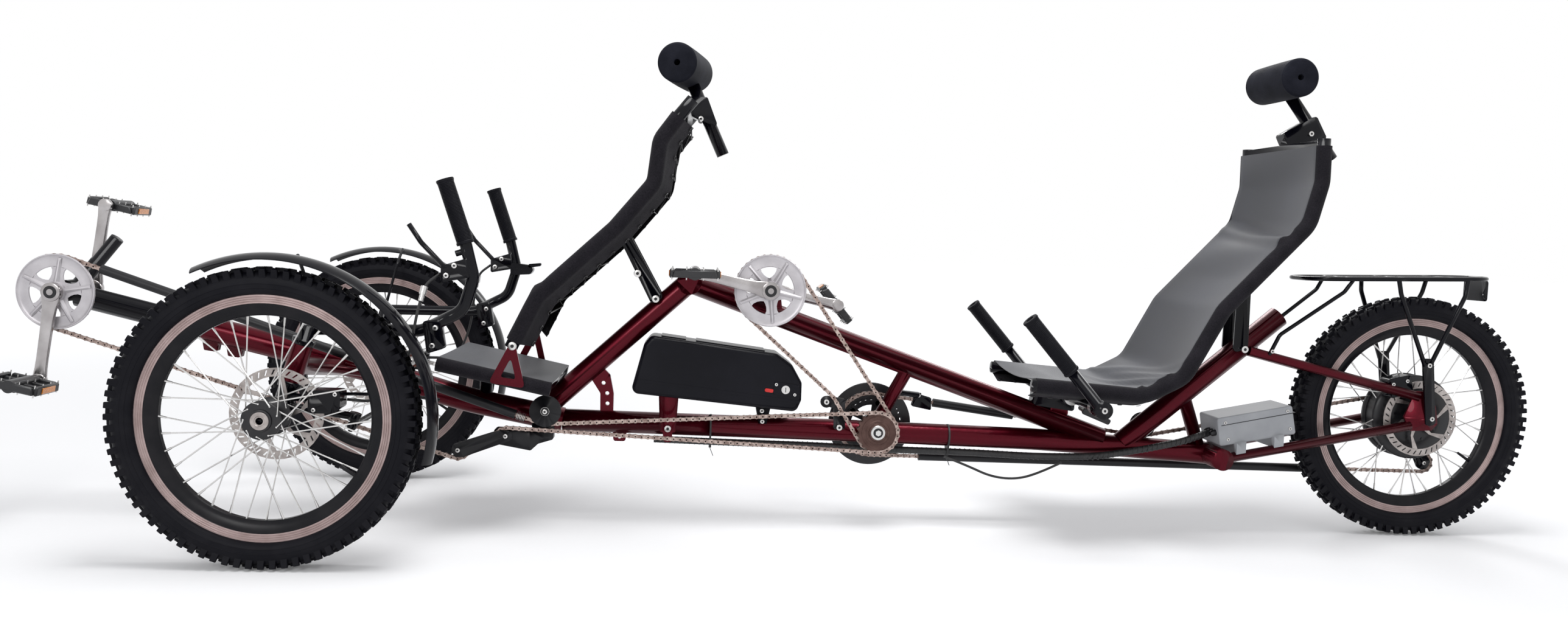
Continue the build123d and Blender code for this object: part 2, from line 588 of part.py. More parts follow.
def loop_face(loop, grow):
    """The closed outline of a chain loop, moved outwards, made in the open sketch."""
    count = len(loop)
    runs = [tangent(loop[i], loop[(i + 1) % count], grow) for i in range(count)]
    with BuildLine() as outline:
        for i, (start, end) in enumerate(runs):
            Line(start, end)
            wheel_x, wheel_z, radius, sense = loop[(i + 1) % count]
            reach = radius + sense * grow
            leave = runs[(i + 1) % count][0]
            angle = atan2(end[1] - wheel_z, end[0] - wheel_x)
            swing = atan2(leave[1] - wheel_z, leave[0] - wheel_x) - angle
            swing = swing % (2 * pi) if sense > 0 else swing % (2 * pi) - 2 * pi
            half_way = angle + swing / 2
            ThreePointArc(end, (wheel_x + reach * cos(half_way),
                                wheel_z + reach * sin(half_way)), leave)
    return make_face(outline.edges(), mode=Mode.PRIVATE)

with BuildPart() as chains:
    for loop, chain_y in ((CAPTAIN_LOOP, CAPTAIN_CHAIN_Y), (STOKER_LOOP, STOKER_CHAIN_Y),
                          (DRIVE_LOOP, DRIVE_CHAIN_Y)):
        with BuildSketch(Plane(origin=at(0, 0, chain_y), x_dir=(1, 0, 0), z_dir=(0, -1, 0))):
            add(loop_face(loop, CHAIN_HALF_HEIGHT))
            add(loop_face(loop, -CHAIN_HALF_HEIGHT), mode=Mode.SUBTRACT)
        extrude(amount=CHAIN_WIDTH / 2, both=True)
chains.part.label = "chains"
export_step(chains.part, "parts/chains.step")


def on_run(run, station, side):
    """The point of a straight chain run at a station."""
    (start_x, start_z), (end_x, end_z) = run
    share = (station - start_x) / (end_x - start_x)
    return at(station, start_z + share * (end_z - start_z), side)


CHAIN_TUBE_OD = 18.0
CHAIN_TUBE_BORE = 13.0
# straight run that the tube covers, chain line, first and last station
CHAIN_TUBES = (
    (tangent(CAPTAIN_LOOP[4], CAPTAIN_LOOP[0]), CAPTAIN_CHAIN_Y, 368, -418),
    (tangent(DRIVE_LOOP[0], DRIVE_LOOP[1]), DRIVE_CHAIN_Y, 1200, 2062),
    (tangent(DRIVE_LOOP[4], DRIVE_LOOP[0]), DRIVE_CHAIN_Y, 1400, 1226),
)
with BuildPart() as chain_tubes:
    for run, chain_y, first, last in CHAIN_TUBES:
        ends = [on_run(run, first, chain_y), on_run(run, last, chain_y)]
        add(tube(ends, CHAIN_TUBE_OD) - tube(ends, CHAIN_TUBE_BORE))
chain_tubes.part.label = "chain_tubes"
export_step(chain_tubes.part, "parts/chain_tubes.step")

GUIDE_GAP = 4.5             # from a chain line to the middle of an idler's side plate
# station, height, chain line, groove radius, side plate radius, offset of the axle's foot
IDLERS = (
    (426, 231, CAPTAIN_CHAIN_Y, 21.0, 31.0, -12.0),
    (1687, 215, DRIVE_CHAIN_Y, 19.0, 27.0, 10.0),
)
with BuildPart() as chain_guides:
    for station, height, chain_y, groove, flange, foot_y in IDLERS:
        add(disc(station, height, chain_y, groove, 8))
        for hand in (-1, 1):
            add(disc(station, height, chain_y + hand * GUIDE_GAP, flange, 2))
        outer = chain_y + (7 if chain_y > 0 else -7)
        add(disc(station, height, (outer + foot_y) / 2, 8, abs(outer - foot_y)))
    for hand in (-1, 1):
        add(side_plate([(250, 136), (268, 136), (362, 172), (362, 190), (340, 192), (246, 160)],
                       CAPTAIN_CHAIN_Y + hand * (GUIDE_GAP + 0.5), 1.6, 6))
    for station, height, radius in ((258, 150, 13), (350, 180, 11)):
        add(disc(station, height, CAPTAIN_CHAIN_Y, radius, 4))
        add(disc(station, height, CAPTAIN_CHAIN_Y, 5, 13))
    add(side_plate([(325, 193), (395, 192), (425, 176), (398, 150), (330, 162)],
                   CAPTAIN_CHAIN_Y + 18, 25, 5))
    add(side_plate([(396, 205), (440, 205), (440, 170), (402, 158)], -24, 24, 5))
    add(disc(987, 262, STOKER_CHAIN_Y, 12, 4))
    add(disc(987, 262, STOKER_CHAIN_Y + 3, 5, 12))
    add(side_plate([(1004, 205), (1028, 205), (1026, 268), (987, 274), (979, 254),
                    (1004, 248)], STOKER_CHAIN_Y + 7, 3, 5))
    add(disc(1016, 209, -28, 7, 32))
    add(main_tube.part, mode=Mode.SUBTRACT)
    add(lower_tube.part, mode=Mode.SUBTRACT)
    add(front_riser.part, mode=Mode.SUBTRACT)
    add(rear_riser.part, mode=Mode.SUBTRACT)
chain_guides.part.label = "chain_guides"
export_step(chain_guides.part, "parts/chain_guides.step")

with BuildPart() as derailleurs:
    for hand in (-1, 1):
        add(side_plate([(1180, 244), (1222, 236), (1222, 262), (1186, 272)],
                       DRIVE_CHAIN_Y + hand * 5, 1.6, 3))
        add(side_plate([(2283, 204), (2300, 206), (2341, 150), (2332, 132), (2316, 134)],
                       DRIVE_CHAIN_Y + hand * (GUIDE_GAP + 0.5), 1.6, 6))
    add(side_plate([(1186, 266), (1200, 263), (1200, 272), (1186, 274)], DRIVE_CHAIN_Y, 11))
    add(tube([at(1140, 278, 6), at(1192, 268, 46)], 13))
    for station, height in ((2325, 146), (2292, 192)):
        add(disc(station, height, DRIVE_CHAIN_Y, 15, 4))
        add(disc(station, height, DRIVE_CHAIN_Y, 5, 13))
    add(side_plate([(2256, 246), (2276, 240), (2304, 196), (2288, 182), (2268, 196)],
                   DRIVE_CHAIN_Y + 15.5, 18, 6))
    add(upper_tube.part, mode=Mode.SUBTRACT)
    add(lower_stays.part, mode=Mode.SUBTRACT)
derailleurs.part.label = "derailleurs"
export_step(derailleurs.part, "parts/derailleurs.step")

ROTOR_REAR_Y = -47.0
with BuildPart() as rear_caliper:
    add(side_plate([(2164, 340), (2214, 352), (2222, 312), (2172, 300)], ROTOR_REAR_Y, 30, 6))
    add(disc(WHEELBASE, TYRE_RADIUS, ROTOR_REAR_Y, ROTOR_RADIUS + 1.5, 4), mode=Mode.SUBTRACT)
    add(upper_stays.part, mode=Mode.SUBTRACT)
rear_caliper.part.label = "rear_caliper"
export_step(rear_caliper.part, "parts/rear_caliper.step")

# ---- seats ---------------------------------------------------------------------------------------
BASE_SIDE = ((232, 330), (446, 286))
BACK_SIDE = ((370, 365), (417, 463), (560, 598), (632, 686), (641, 767), (674, 813), (700, 845))
SLING_SIDE = ((1377, 320), (1605, 304), (1683, 344), (1755, 479), (1918, 653), (1939, 737),
              (1938, 823))
CLOTH = 5.0
CLOTH_GAP = 0.3


def cloth_strip(outline, bend, half_width, tube_radius):
    """A slung panel that lies on the upper side of the seat's side tubes."""
    corners = [(station - ORIGIN_STATION, height) for station, height in outline]
    low = tube_radius + CLOTH_GAP
    with BuildPart() as made:
        with BuildSketch(Plane(origin=(0, 0, 0), x_dir=(1, 0, 0), z_dir=(0, -1, 0))):
            with BuildLine():
                if len(corners) > 2:
                    side_line = FilletPolyline(*corners, radius=bend, mode=Mode.PRIVATE)
                else:
                    side_line = Polyline(*corners, mode=Mode.PRIVATE)
                rail = Wire(side_line.edges())
                lower = rail.offset_2d(low, side=Side.LEFT, closed=False)
                upper = rail.offset_2d(low + CLOTH, side=Side.LEFT, closed=False)
                add([lower, upper])
                Line(lower @ 0, upper @ 0)
                Line(lower @ 1, upper @ 1)
            make_face()
        extrude(amount=half_width, both=True)
    return made.part


HEADREST_OD = 80.0
HEADREST_LENGTH = 165.0
# station, height, degrees of yaw
HEADRESTS = ((683, 924, 12.0), (1923, 952, 0.0))


def foam_roll(station, height, yaw):
    """A headrest's roll without its bore."""
    along = Vector(sin(radians(yaw)), cos(radians(yaw)), 0) * (HEADREST_LENGTH / 2)
    return tube([at(station, height) - along, at(station, height) + along], HEADREST_OD)


with BuildPart() as headrests:
    for station, height, yaw in HEADRESTS:
        add(foam_roll(station, height, yaw))
        along = Vector(sin(radians(yaw)), cos(radians(yaw)), 0) * HEADREST_LENGTH
        add(tube([at(station, height) - along, at(station, height) + along], 12),
            mode=Mode.SUBTRACT)
headrests.part.label = "headrests"
export_step(headrests.part, "parts/headrests.step")

with BuildPart() as captain_seat_frame:
    for hand in (-1, 1):
        add(tube([at(s, h, hand * 155) for s, h in BACK_SIDE], SEAT_TUBE_OD, 38))
        add(tube([at(s, h, hand * 150) for s, h in BASE_SIDE], 22))
        add(side_plate([(334, 300), (402, 290), (382, 400)], hand * 169.2, 4, 8))
        add(disc(368, 302, hand * 160, 9, 18))
        add(side_plate([(550, 598), (572, 604), (652, 462), (628, 448)], hand * 26, 4, 8))
    for station, height in ((386, 398), (560, 592), (690, 832)):
        add(disc(station, height, 0, 10, 298))
    for station, height in ((238, 328.8), (300, 316), (436, 288)):
        add(disc(station, height, 0, 9, 290))
    add(tube([at(300, 240), at(300, 312)], 25))
    add(disc(640, 458, 0, 5, 64))
    add(tube([at(683, 924), at(763, 753)], SEAT_TUBE_OD))
    add(side_plate([(684, 866), (728, 866), (752, 806), (694, 828)], 0, 40, 5))
    add(foam_roll(*HEADRESTS[0]), mode=Mode.SUBTRACT)
    add(main_tube.part, mode=Mode.SUBTRACT)
    add(front_riser.part, mode=Mode.SUBTRACT)
captain_seat_frame.part.label = "captain_seat_frame"
export_step(captain_seat_frame.part, "parts/captain_seat_frame.step")

with BuildPart() as stoker_seat_frame:
    for hand in (-1, 1):
        add(tube([at(s, h, hand * 160) for s, h in SLING_SIDE], SEAT_TUBE_OD, 60))
        add(side_plate([(1842, 384), (1874, 392), (1872, 602), (1846, 598)], hand * 26, 4, 8))
    for station, height in ((1440, 315), (1640, 322), (1858, 589), (1938, 812)):
        add(disc(station, height, 0, 10, 308))
    add(side_plate([(1424, 262), (1512, 250), (1512, 300), (1430, 312)], 0, 36, 6))
    add(disc(1864, 392, 0, 5, 64))
    add(tube([at(1923, 952), at(2043, 797)], SEAT_TUBE_OD))
    add(side_plate([(1926, 842), (1996, 884), (2022, 838), (1944, 806)], 0, 34, 6))
    add(disc(1495, 285, 0, BAR_OD / 2, 60), mode=Mode.SUBTRACT)
    add(foam_roll(*HEADRESTS[1]), mode=Mode.SUBTRACT)
    add(upper_tube.part, mode=Mode.SUBTRACT)
    add(rear_riser.part, mode=Mode.SUBTRACT)
stoker_seat_frame.part.label = "stoker_seat_frame"
export_step(stoker_seat_frame.part, "parts/stoker_seat_frame.step")

captain_base = cloth_strip(BASE_SIDE, 0, 160, 11)
captain_base.label = "captain_seat_base"
export_step(captain_base, "parts/captain_seat_base.step")
captain_sling = cloth_strip(BACK_SIDE[:-1], 38, 166, SEAT_TUBE_OD / 2)
captain_sling.label = "captain_sling"
export_step(captain_sling, "parts/captain_sling.step")
stoker_sling = cloth_strip(SLING_SIDE, 60, 170, SEAT_TUBE_OD / 2)
stoker_sling.label = "stoker_sling"
export_step(stoker_sling, "parts/stoker_sling.step")

# ---- stoker's handlebar ------------------------------------------------------------------------
STOKER_BAR = (1495.0, 285.0)
STOKER_BAR_Y = 230.0
with BuildPart() as stoker_bars:
    add(disc(*STOKER_BAR, 0, BAR_OD / 2, 2 * STOKER_BAR_Y + 20))
    for hand in (-1, 1):
        add(tube([at(*STOKER_BAR, hand * STOKER_BAR_Y),
                  at(1349, 451, hand * STOKER_BAR_Y)], BAR_OD))
        add(disc(*STOKER_BAR, hand * STOKER_BAR_Y, 17, 30))
stoker_bars.part.label = "stoker_bars"
export_step(stoker_bars.part, "parts/stoker_bars.step")

with BuildPart() as stoker_grips:
    for hand in (-1, 1):
        add(tube([at(1433, 355.5, hand * STOKER_BAR_Y), at(1346, 454.4, hand * STOKER_BAR_Y)],
                 GRIP_OD))
    add(stoker_bars.part, mode=Mode.SUBTRACT)
stoker_grips.part.label = "stoker_grips"
export_step(stoker_grips.part, "parts/stoker_grips.step")

# ---- battery, controller box and rack -------------------------------------------------------------
BATTERY_SIDE = ((591, 268), (616, 368), (630, 386), (885, 356), (916, 334), (937, 298),
                (937, 262), (927, 238))
BATTERY_WIDTH = 90.0
with BuildPart() as battery:
    add(side_plate(BATTERY_SIDE, 0, BATTERY_WIDTH, 14))
    fillet(battery.faces().filter_by(Axis.Y).edges(), radius=10)
    add(side_plate([(844, 252), (878, 252), (868, 205), (854, 205)], 0, 40))
    add(lower_tube.part, mode=Mode.SUBTRACT)
battery.part.label = "battery"
export_step(battery.part, "parts/battery.step")

with BuildPart() as controller_box:
    add(side_plate([(1812, 190), (1974, 220), (1962, 280), (1802, 249)], -15, 90, 5))
    fillet(controller_box.faces().filter_by(Axis.Y).edges(), radius=3)
    for station in (1852, 1932):
        rise = (station - 1852) * 0.2
        add(side_plate([(station - 10, 176 + rise), (station + 10, 180 + rise),
                        (station + 10, 204 + rise), (station - 10, 200 + rise)], 0, 144))
    add(lower_stays.part, mode=Mode.SUBTRACT)
controller_box.part.label = "controller_box"
export_step(controller_box.part, "parts/controller_box.step")

RACK_ROD = 9.0
RACK_HALF_WIDTH = 70.0
RACK_FRONT = (1988.0, 545.0)
RACK_REAR = (2384.0, 557.0)
with BuildPart() as rack:
    add(tube([at(2190, 551, -RACK_HALF_WIDTH), at(*RACK_REAR, -RACK_HALF_WIDTH),
              at(*RACK_REAR, RACK_HALF_WIDTH), at(2190, 551, RACK_HALF_WIDTH)], RACK_ROD, 55))
    add(tube([at(2190, 551, -RACK_HALF_WIDTH), at(*RACK_FRONT, -RACK_HALF_WIDTH),
              at(*RACK_FRONT, RACK_HALF_WIDTH), at(2190, 551, RACK_HALF_WIDTH)], RACK_ROD, 55))
    for hand in (-1, 1):
        add(tube([at(*RACK_FRONT, hand * 24), at(*RACK_REAR, hand * 24)], 8))
        add(tube([at(2168, 550, hand * RACK_HALF_WIDTH), at(2172, 520, hand * 74),
                  at(2230, 372, hand * 82)], 9, 30))
        add(tube([at(2318, 554, hand * RACK_HALF_WIDTH), at(2312, 520, hand * 74),
                  at(2240, 372, hand * 82)], 9, 30))
        add(side_plate([(2224, 388), (2248, 388), (2262, 250), (2242, 246)],
                       hand * 80, 5, 7))
        add(tube([at(2077, 548, hand * 60), at(2060, 520, hand * 56), at(1935, 425, hand * 40),
                  at(1918, 382, hand * 34)], 8, 20))
    for station in (2077, 2190, 2300):
        add(disc(station, 551 + (station - 2190) * 0.03, 0, 4, 2 * RACK_HALF_WIDTH))
    with BuildSketch(Plane(origin=at(2384, 531), x_dir=(0, 1, 0), z_dir=(1, 0, 0))):
        RectangleRounded(76, 44, 6)
        with Locations((-25, -8), (25, -8)):
            Circle(2.75, mode=Mode.SUBTRACT)
    extrude(amount=1.5, both=True)
    add(lower_stays.part, mode=Mode.SUBTRACT)
    add(upper_stays.part, mode=Mode.SUBTRACT)
rack.part.label = "rack"
export_step(rack.part, "parts/rack.step")

# ---- cables -----------------------------------------------------------------------------------------
def route(points, share=0.45):
    """Bend radii for a cable's path: a share of the shorter run beside each corner."""
    radii = []
    for before, corner, after in zip(points, points[1:], points[2:]):
        turn = radians((corner - before).get_angle(after - corner))
        shorter = min((corner - before).length, (after - corner).length)
        radii.append(share * shorter / tan(turn / 2))
    return radii


def cable(points, diameter):
    """A cable along straight runs joined by the largest bends that they allow."""
    radii = route(points)
    with BuildPart() as made:
        with BuildLine() as run:
            FilletPolyline(*points, radius=radii)
        with BuildSketch(Plane(origin=run.line @ 0, z_dir=run.line % 0)):
            Circle(diameter / 2)
        sweep(path=run.line)
    length = sum(edge.length for edge in run.edges())
    print("cable of", diameter, "length", round(length), "bend radii", [round(r) for r in radii])
    return made.part


HARNESS = ((640, 170, -4), (800, 166, -3), (960, 163, 3), (1120, 158, 0), (1280, 157, -4),
           (1440, 152, -10), (1560, 158, -30), (1660, 178, -40), (1740, 196, -40),
           (1799, 214, -30))
with BuildPart() as frame_cables:
    add(cable([at(*point) for point in HARNESS], 14))
frame_cables.part.label = "frame_cables"
export_step(frame_cables.part, "parts/frame_cables.step")

SLACK_CABLE = ((1240, 150, -22), (1290, 132, -26), (1340, 110, -24), (1395, 104, -18),
               (1445, 118, -16), (1490, 142, -20))
with BuildPart() as slack_cable:
    add(cable([at(*point) for point in SLACK_CABLE], 5))
slack_cable.part.label = "slack_cable"
export_step(slack_cable.part, "parts/slack_cable.step")

BRAKE_CABLE = ((260, 506, 262), (234, 486, 266), (222, 430, 280), (214, 364, 284),
               (192, 306, 284), (154, 276, 293), (113, 282, 311))
for name, hand in (("left", -1), ("right", 1)):
    with BuildPart() as brake_cable:
        add(cable([at(s, h, hand * y) for s, h, y in BRAKE_CABLE], 5))
    brake_cable.part.label = f"{name}_brake_cable"
    export_step(brake_cable.part, f"parts/{name}_brake_cable.step")
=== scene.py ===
"""A tandem recumbent trike, dressed piece by piece as it is put together.

Metres, +X to the rear, +Y to the riders' right, +Z up. A station is a distance behind the
front axle line, and FRONT is where that line lies.
"""
from math import asin, atan2, cos, hypot, pi, radians, sin

import bmesh
import bpy
from mathutils import Matrix, Vector


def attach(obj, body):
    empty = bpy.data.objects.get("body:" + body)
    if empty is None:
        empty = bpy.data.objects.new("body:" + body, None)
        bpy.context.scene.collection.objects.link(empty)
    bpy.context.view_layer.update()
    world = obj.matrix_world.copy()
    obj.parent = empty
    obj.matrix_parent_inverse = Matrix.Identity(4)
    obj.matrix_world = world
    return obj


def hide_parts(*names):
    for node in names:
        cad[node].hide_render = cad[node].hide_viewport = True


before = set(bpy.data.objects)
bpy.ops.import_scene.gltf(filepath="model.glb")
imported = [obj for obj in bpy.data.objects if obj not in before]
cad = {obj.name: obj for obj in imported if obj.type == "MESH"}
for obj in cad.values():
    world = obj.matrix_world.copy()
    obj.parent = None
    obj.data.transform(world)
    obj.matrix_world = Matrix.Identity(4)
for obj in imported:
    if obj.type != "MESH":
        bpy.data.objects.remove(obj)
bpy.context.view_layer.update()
FRONT = -0.961

# ---- Studio -------------------------------------------------------------------------------
# A pale seamless floor that runs on into a white room, with soft light all round it. The
# room shows white to the camera and in polished parts, but lights the trike at a plain
# level, and the floor glows only faintly near the trike, so that it keeps its shadow.
room = bpy.data.worlds.new("room")
room.use_nodes = True
room.node_tree.nodes.clear()
bpy.context.scene.world = room


class Wire:
    """One shader socket; sums and products of wires add the Math nodes that they need."""

    def __init__(self, tree, socket=None):
        self.tree = tree
        self.socket = socket

    def node(self, kind, settings=None, sockets=None, out=None):
        """Adds a node, sets it up, then fills or links its sockets, and gives one output."""
        made = self.tree.nodes.new("ShaderNode" + kind)
        for setting, value in (settings or {}).items():
            setattr(made, setting, value)
        for key, value in (sockets or {}).items():
            if isinstance(key, int):
                socket = made.inputs[key]
            else:
                socket = next(s for s in made.inputs if s.enabled and s.name == key)
            if isinstance(value, Wire):
                self.tree.links.new(value.socket, socket)
            elif socket.type == "RGBA":
                socket.default_value = (*value, 1.0)
            else:
                socket.default_value = value
        outputs = [s for s in made.outputs if s.enabled]
        found = [s for s in outputs if s.name == out] or outputs
        return Wire(self.tree, found[0] if found else None)

    def math(self, operation, *values):
        """One Math node on these values."""
        return self.node("Math", {"operation": operation}, dict(enumerate(values)))

    def __add__(self, other):
        return self.math("ADD", self, other)

    __radd__ = __add__

    def __sub__(self, other):
        return self.math("SUBTRACT", self, other)

    def __rsub__(self, other):
        return self.math("SUBTRACT", other, self)

    def __mul__(self, other):
        return self.math("MULTIPLY", self, other)

    __rmul__ = __mul__

    def clip(self, low, high):
        """This value's share of the way from low to high, held between 0 and 1."""
        return self.node("MapRange", {}, {"Value": self, "From Min": low, "From Max": high})

    def tint(self, dark, light):
        """The colour between dark and light at this value."""
        return self.node("Mix", {"data_type": "RGBA"}, {"Factor": self, "A": dark, "B": light})

    def noise(self, scale, detail):
        """An uneven grain that stays with the piece as it moves."""
        spot = self.node("TexCoord", out="Object")
        return self.node("TexNoise", {}, {"Vector": spot, "Scale": scale, "Detail": detail})

    def bump(self, strength, distance, height):
        """The normal of a surface that this height raises, by a distance at most."""
        return self.node("Bump", {}, {"Strength": strength, "Distance": distance,
                                      "Height": height})

    def bare_rays(self):
        """1 for rays from the camera, off a mirror or through glass, and 0 for the rest."""
        seen = self.node("LightPath", out="Is Camera Ray")
        mirrored = self.node("LightPath", out="Is Glossy Ray")
        through = self.node("LightPath", out="Is Transmission Ray")
        return self.math("MAXIMUM", self.math("MAXIMUM", seen, mirrored), through)

    def surface(self, sockets):
        """The Principled shader with these sockets, out to the surface."""
        shader = self.node("BsdfPrincipled", {}, sockets)
        self.node("OutputMaterial", {}, {"Surface": shader})


wall = Wire(room.node_tree)
white_wall = wall.node("Background", {}, {"Color": (1.0, 1.0, 1.0), "Strength": 1.0})
light_wall = wall.node("Background", {}, {"Color": (0.97, 0.98, 1.0), "Strength": 0.62})
lit = wall.node("MixShader", {}, {0: wall.bare_rays(), 1: light_wall, 2: white_wall})
wall.node("OutputWorld", {}, {"Surface": lit})


def finish(name):
    """A new finish with nothing in it yet, and the wire to build it with."""
    made = bpy.data.materials.new(name)
    made.use_nodes = True
    made.node_tree.nodes.clear()
    return made, Wire(made.node_tree)


SHADOW_REACH, GLOW_REACH = 1.6, 5.0     # metres out, between which the floor's glow sets in
FLOOR_HALF = 30.0                       # half the floor's width
floor_paper, mix = finish("floor_paper")
spot = mix.node("TexCoord", out="Object")
grain = mix.noise(90.0, 3.0)
paper = mix.node("BsdfDiffuse", {}, {
    "Color": grain.tint((0.84, 0.84, 0.85), (0.86, 0.86, 0.87))})
away = mix.node("VectorMath", {"operation": "LENGTH"}, {0: spot}, "Value")
glow = mix.node("Emission", {}, {
    "Color": (1.0, 1.0, 1.0),
    "Strength": mix.bare_rays() * (0.08 + away.clip(SHADOW_REACH, GLOW_REACH) * 0.42)})
mix.node("OutputMaterial", {}, {"Surface": mix.node("AddShader", {}, {0: paper, 1: glow})})
sheet = bmesh.new()
bmesh.ops.create_grid(sheet, x_segments=1, y_segments=1, size=FLOOR_HALF)
floor_mesh = bpy.data.meshes.new("floor")
sheet.to_mesh(floor_mesh)
sheet.free()
floor_mesh.materials.append(floor_paper)
floor = bpy.data.objects.new("floor", floor_mesh)
bpy.context.scene.collection.objects.link(floor)

for name, place, aim, size, watts in (
    ("roof_light", (0.1, -0.6, 3.2), (0.0, 0.0, 0.2), 1.7, 62.0),
    ("front_light", (-1.6, -3.6, 2.0), (0.0, 0.0, 0.4), 1.3, 34.0),
    ("back_light", (1.8, 2.8, 2.4), (0.2, 0.0, 0.4), 1.3, 30.0),
):
    lamp = bpy.data.lights.new(name, "AREA")
    lamp.shape = "DISK"
    lamp.size = size
    lamp.energy = watts
    holder = bpy.data.objects.new(name, lamp)
    holder.matrix_world = Matrix.Translation(place) @ (
        Vector(aim) - Vector(place)).to_track_quat("-Z", "Y").to_matrix().to_4x4()
    bpy.context.scene.collection.objects.link(holder)

lens = bpy.data.cameras.new("camera")
lens.sensor_width = 36.0
lens.lens = 27.25
camera = bpy.data.objects.new("camera", lens)
camera.matrix_world = (
    Matrix.Translation((-0.2533, -2.4244, 0.5962)) @ Matrix.Rotation(radians(-4.503), 4, "Z")
    @ Matrix.Rotation(radians(90.0 - 3.974), 4, "X") @ Matrix.Rotation(radians(2.057), 4, "Z")
)
bpy.context.scene.collection.objects.link(camera)
bpy.context.scene.camera = camera
bpy.context.scene.view_settings.view_transform = "Standard"

# ---- Slack cable --------------------------------------------------------------------------
# The spare length of the hub motor's lead: a 5 mm black lead that leaves the bunched cables
# under the frame, hangs in a shallow loop and goes back up into them.
cable_jacket, mix = finish("cable_jacket")
dust = mix.noise(60.0, 5.0)
mix.surface({
    "Base Color": dust.clip(0.45, 0.8).tint((0.012, 0.012, 0.013), (0.030, 0.029, 0.029)),
    "Roughness": 0.42 + dust * 0.16,
    "Normal": mix.bump(0.12, 0.0005, dust),
})
SLACK_POINTS = (
    (1.240, -0.022, 0.150), (1.290, -0.026, 0.132), (1.340, -0.024, 0.110),
    (1.395, -0.018, 0.104), (1.445, -0.016, 0.118), (1.490, -0.020, 0.142),
)


def lead(name, points, diameter, surface, body):
    """A cable of round section on one smooth line through its route's control points."""
    curve = bpy.data.curves.new(name, "CURVE")
    curve.dimensions = "3D"
    curve.bevel_depth = diameter / 2
    curve.bevel_resolution = 4
    curve.resolution_u = 12
    curve.use_fill_caps = True
    line = curve.splines.new("NURBS")
    line.points.add(len(points) - 1)
    for point, (station, side, height) in zip(line.points, points):
        point.co = (FRONT + station, side, height, 1.0)
    line.order_u = 3
    line.use_endpoint_u = True
    curve.materials.append(surface)
    made = bpy.data.objects.new(name, curve)
    bpy.context.scene.collection.objects.link(made)
    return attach(made, body)


slack = lead("motor_lead_loop", SLACK_POINTS, 0.005, cable_jacket, "frame")
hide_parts("slack_cable")

# ---- Painted frame tubes ------------------------------------------------------------------
# The welded steel frame: round tubes in deep crimson metallic under clear lacquer. The fine
# flakes lie in the base coat, and the lacquer over them stays smooth.
crimson, mix = finish("crimson_lacquer")
flake = mix.noise(2400.0, 1.0)
haze = mix.noise(9.0, 6.0)
deep = haze.tint((0.032, 0.0002, 0.0026), (0.048, 0.0003, 0.0045))
bright = haze.tint((0.096, 0.0008, 0.0077), (0.122, 0.0013, 0.0110))
mix.surface({
    "Base Color": mix.node("Mix", {"data_type": "RGBA"},
                           {"Factor": flake.clip(0.35, 0.65), "A": deep, "B": bright}),
    "Metallic": 0.80,
    "Roughness": 0.24 + haze * 0.10,
    "Specular IOR Level": 0.25,
    "Coat Weight": 0.14,
    "Coat Roughness": 0.05,
})


def piece(shape, name, body, *surfaces, crease=35.0):
    """Closes a mesh into one piece with its finishes, smooth but for its creases."""
    bmesh.ops.remove_doubles(shape, verts=shape.verts, dist=1e-6)
    bmesh.ops.recalc_face_normals(shape, faces=shape.faces)
    data = bpy.data.meshes.new(name)
    shape.to_mesh(data)
    shape.free()
    data.shade_smooth()
    data.set_sharp_from_angle(angle=radians(crease))
    for surface in surfaces:
        data.materials.append(surface)
    made = bpy.data.objects.new(name, data)
    bpy.context.scene.collection.objects.link(made)
    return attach(made, body)


def solid_copy(name):
    """A CAD solid's own mesh, as a shape that can be merged and added to."""
    shape = bmesh.new()
    shape.from_mesh(cad[name].data)
    bmesh.ops.transform(shape, verts=shape.verts, matrix=cad[name].matrix_world)
    bmesh.ops.remove_doubles(shape, verts=shape.verts, dist=1e-6)
    return shape


for name in ("main_tube", "cross_beam", "lower_tube", "upper_tube", "front_riser",
             "coupling_plate", "rear_riser", "lower_stays", "upper_stays"):
    tube = piece(solid_copy(name), f"painted_{name}", "frame", crimson, crease=30.0)
    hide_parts(name)

# ---- Black steel parts --------------------------------------------------------------------
# Gloss black enamel on the boom, the seat tubes, the bars and the rack. It picks up dust
# and fine scuffs that show as a slightly duller film.
black_enamel, mix = finish("black_enamel")
haze = mix.noise(14.0, 8.0)
speck = mix.noise(700.0, 2.0)
mix.surface({
    "Base Color": haze.clip(0.4, 0.8).tint((0.0016, 0.0016, 0.0036), (0.0045, 0.0045, 0.0074)),
    "Roughness": 0.09 + haze * 0.12,
    "Specular IOR Level": 0.20,
    "Normal": mix.bump(0.05, 0.0002, speck),
})
for name, body in (
    ("boom", "frame"), ("rack", "frame"), ("stoker_bars", "frame"), ("tie_rod", "tie_rod"),
    ("rear_caliper", "frame"), ("derailleurs", "frame"),
    ("left_knuckle", "left_knuckle"), ("right_knuckle", "right_knuckle"),
    ("left_handlebar", "left_knuckle"), ("right_handlebar", "right_knuckle"),
    ("left_mudguard", "left_knuckle"), ("right_mudguard", "right_knuckle"),
):
    part = piece(solid_copy(name), f"enamelled_{name}", body, black_enamel, crease=30.0)
    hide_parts(name)
    "black_plastic" if "mudguard" in name else "black_paint"

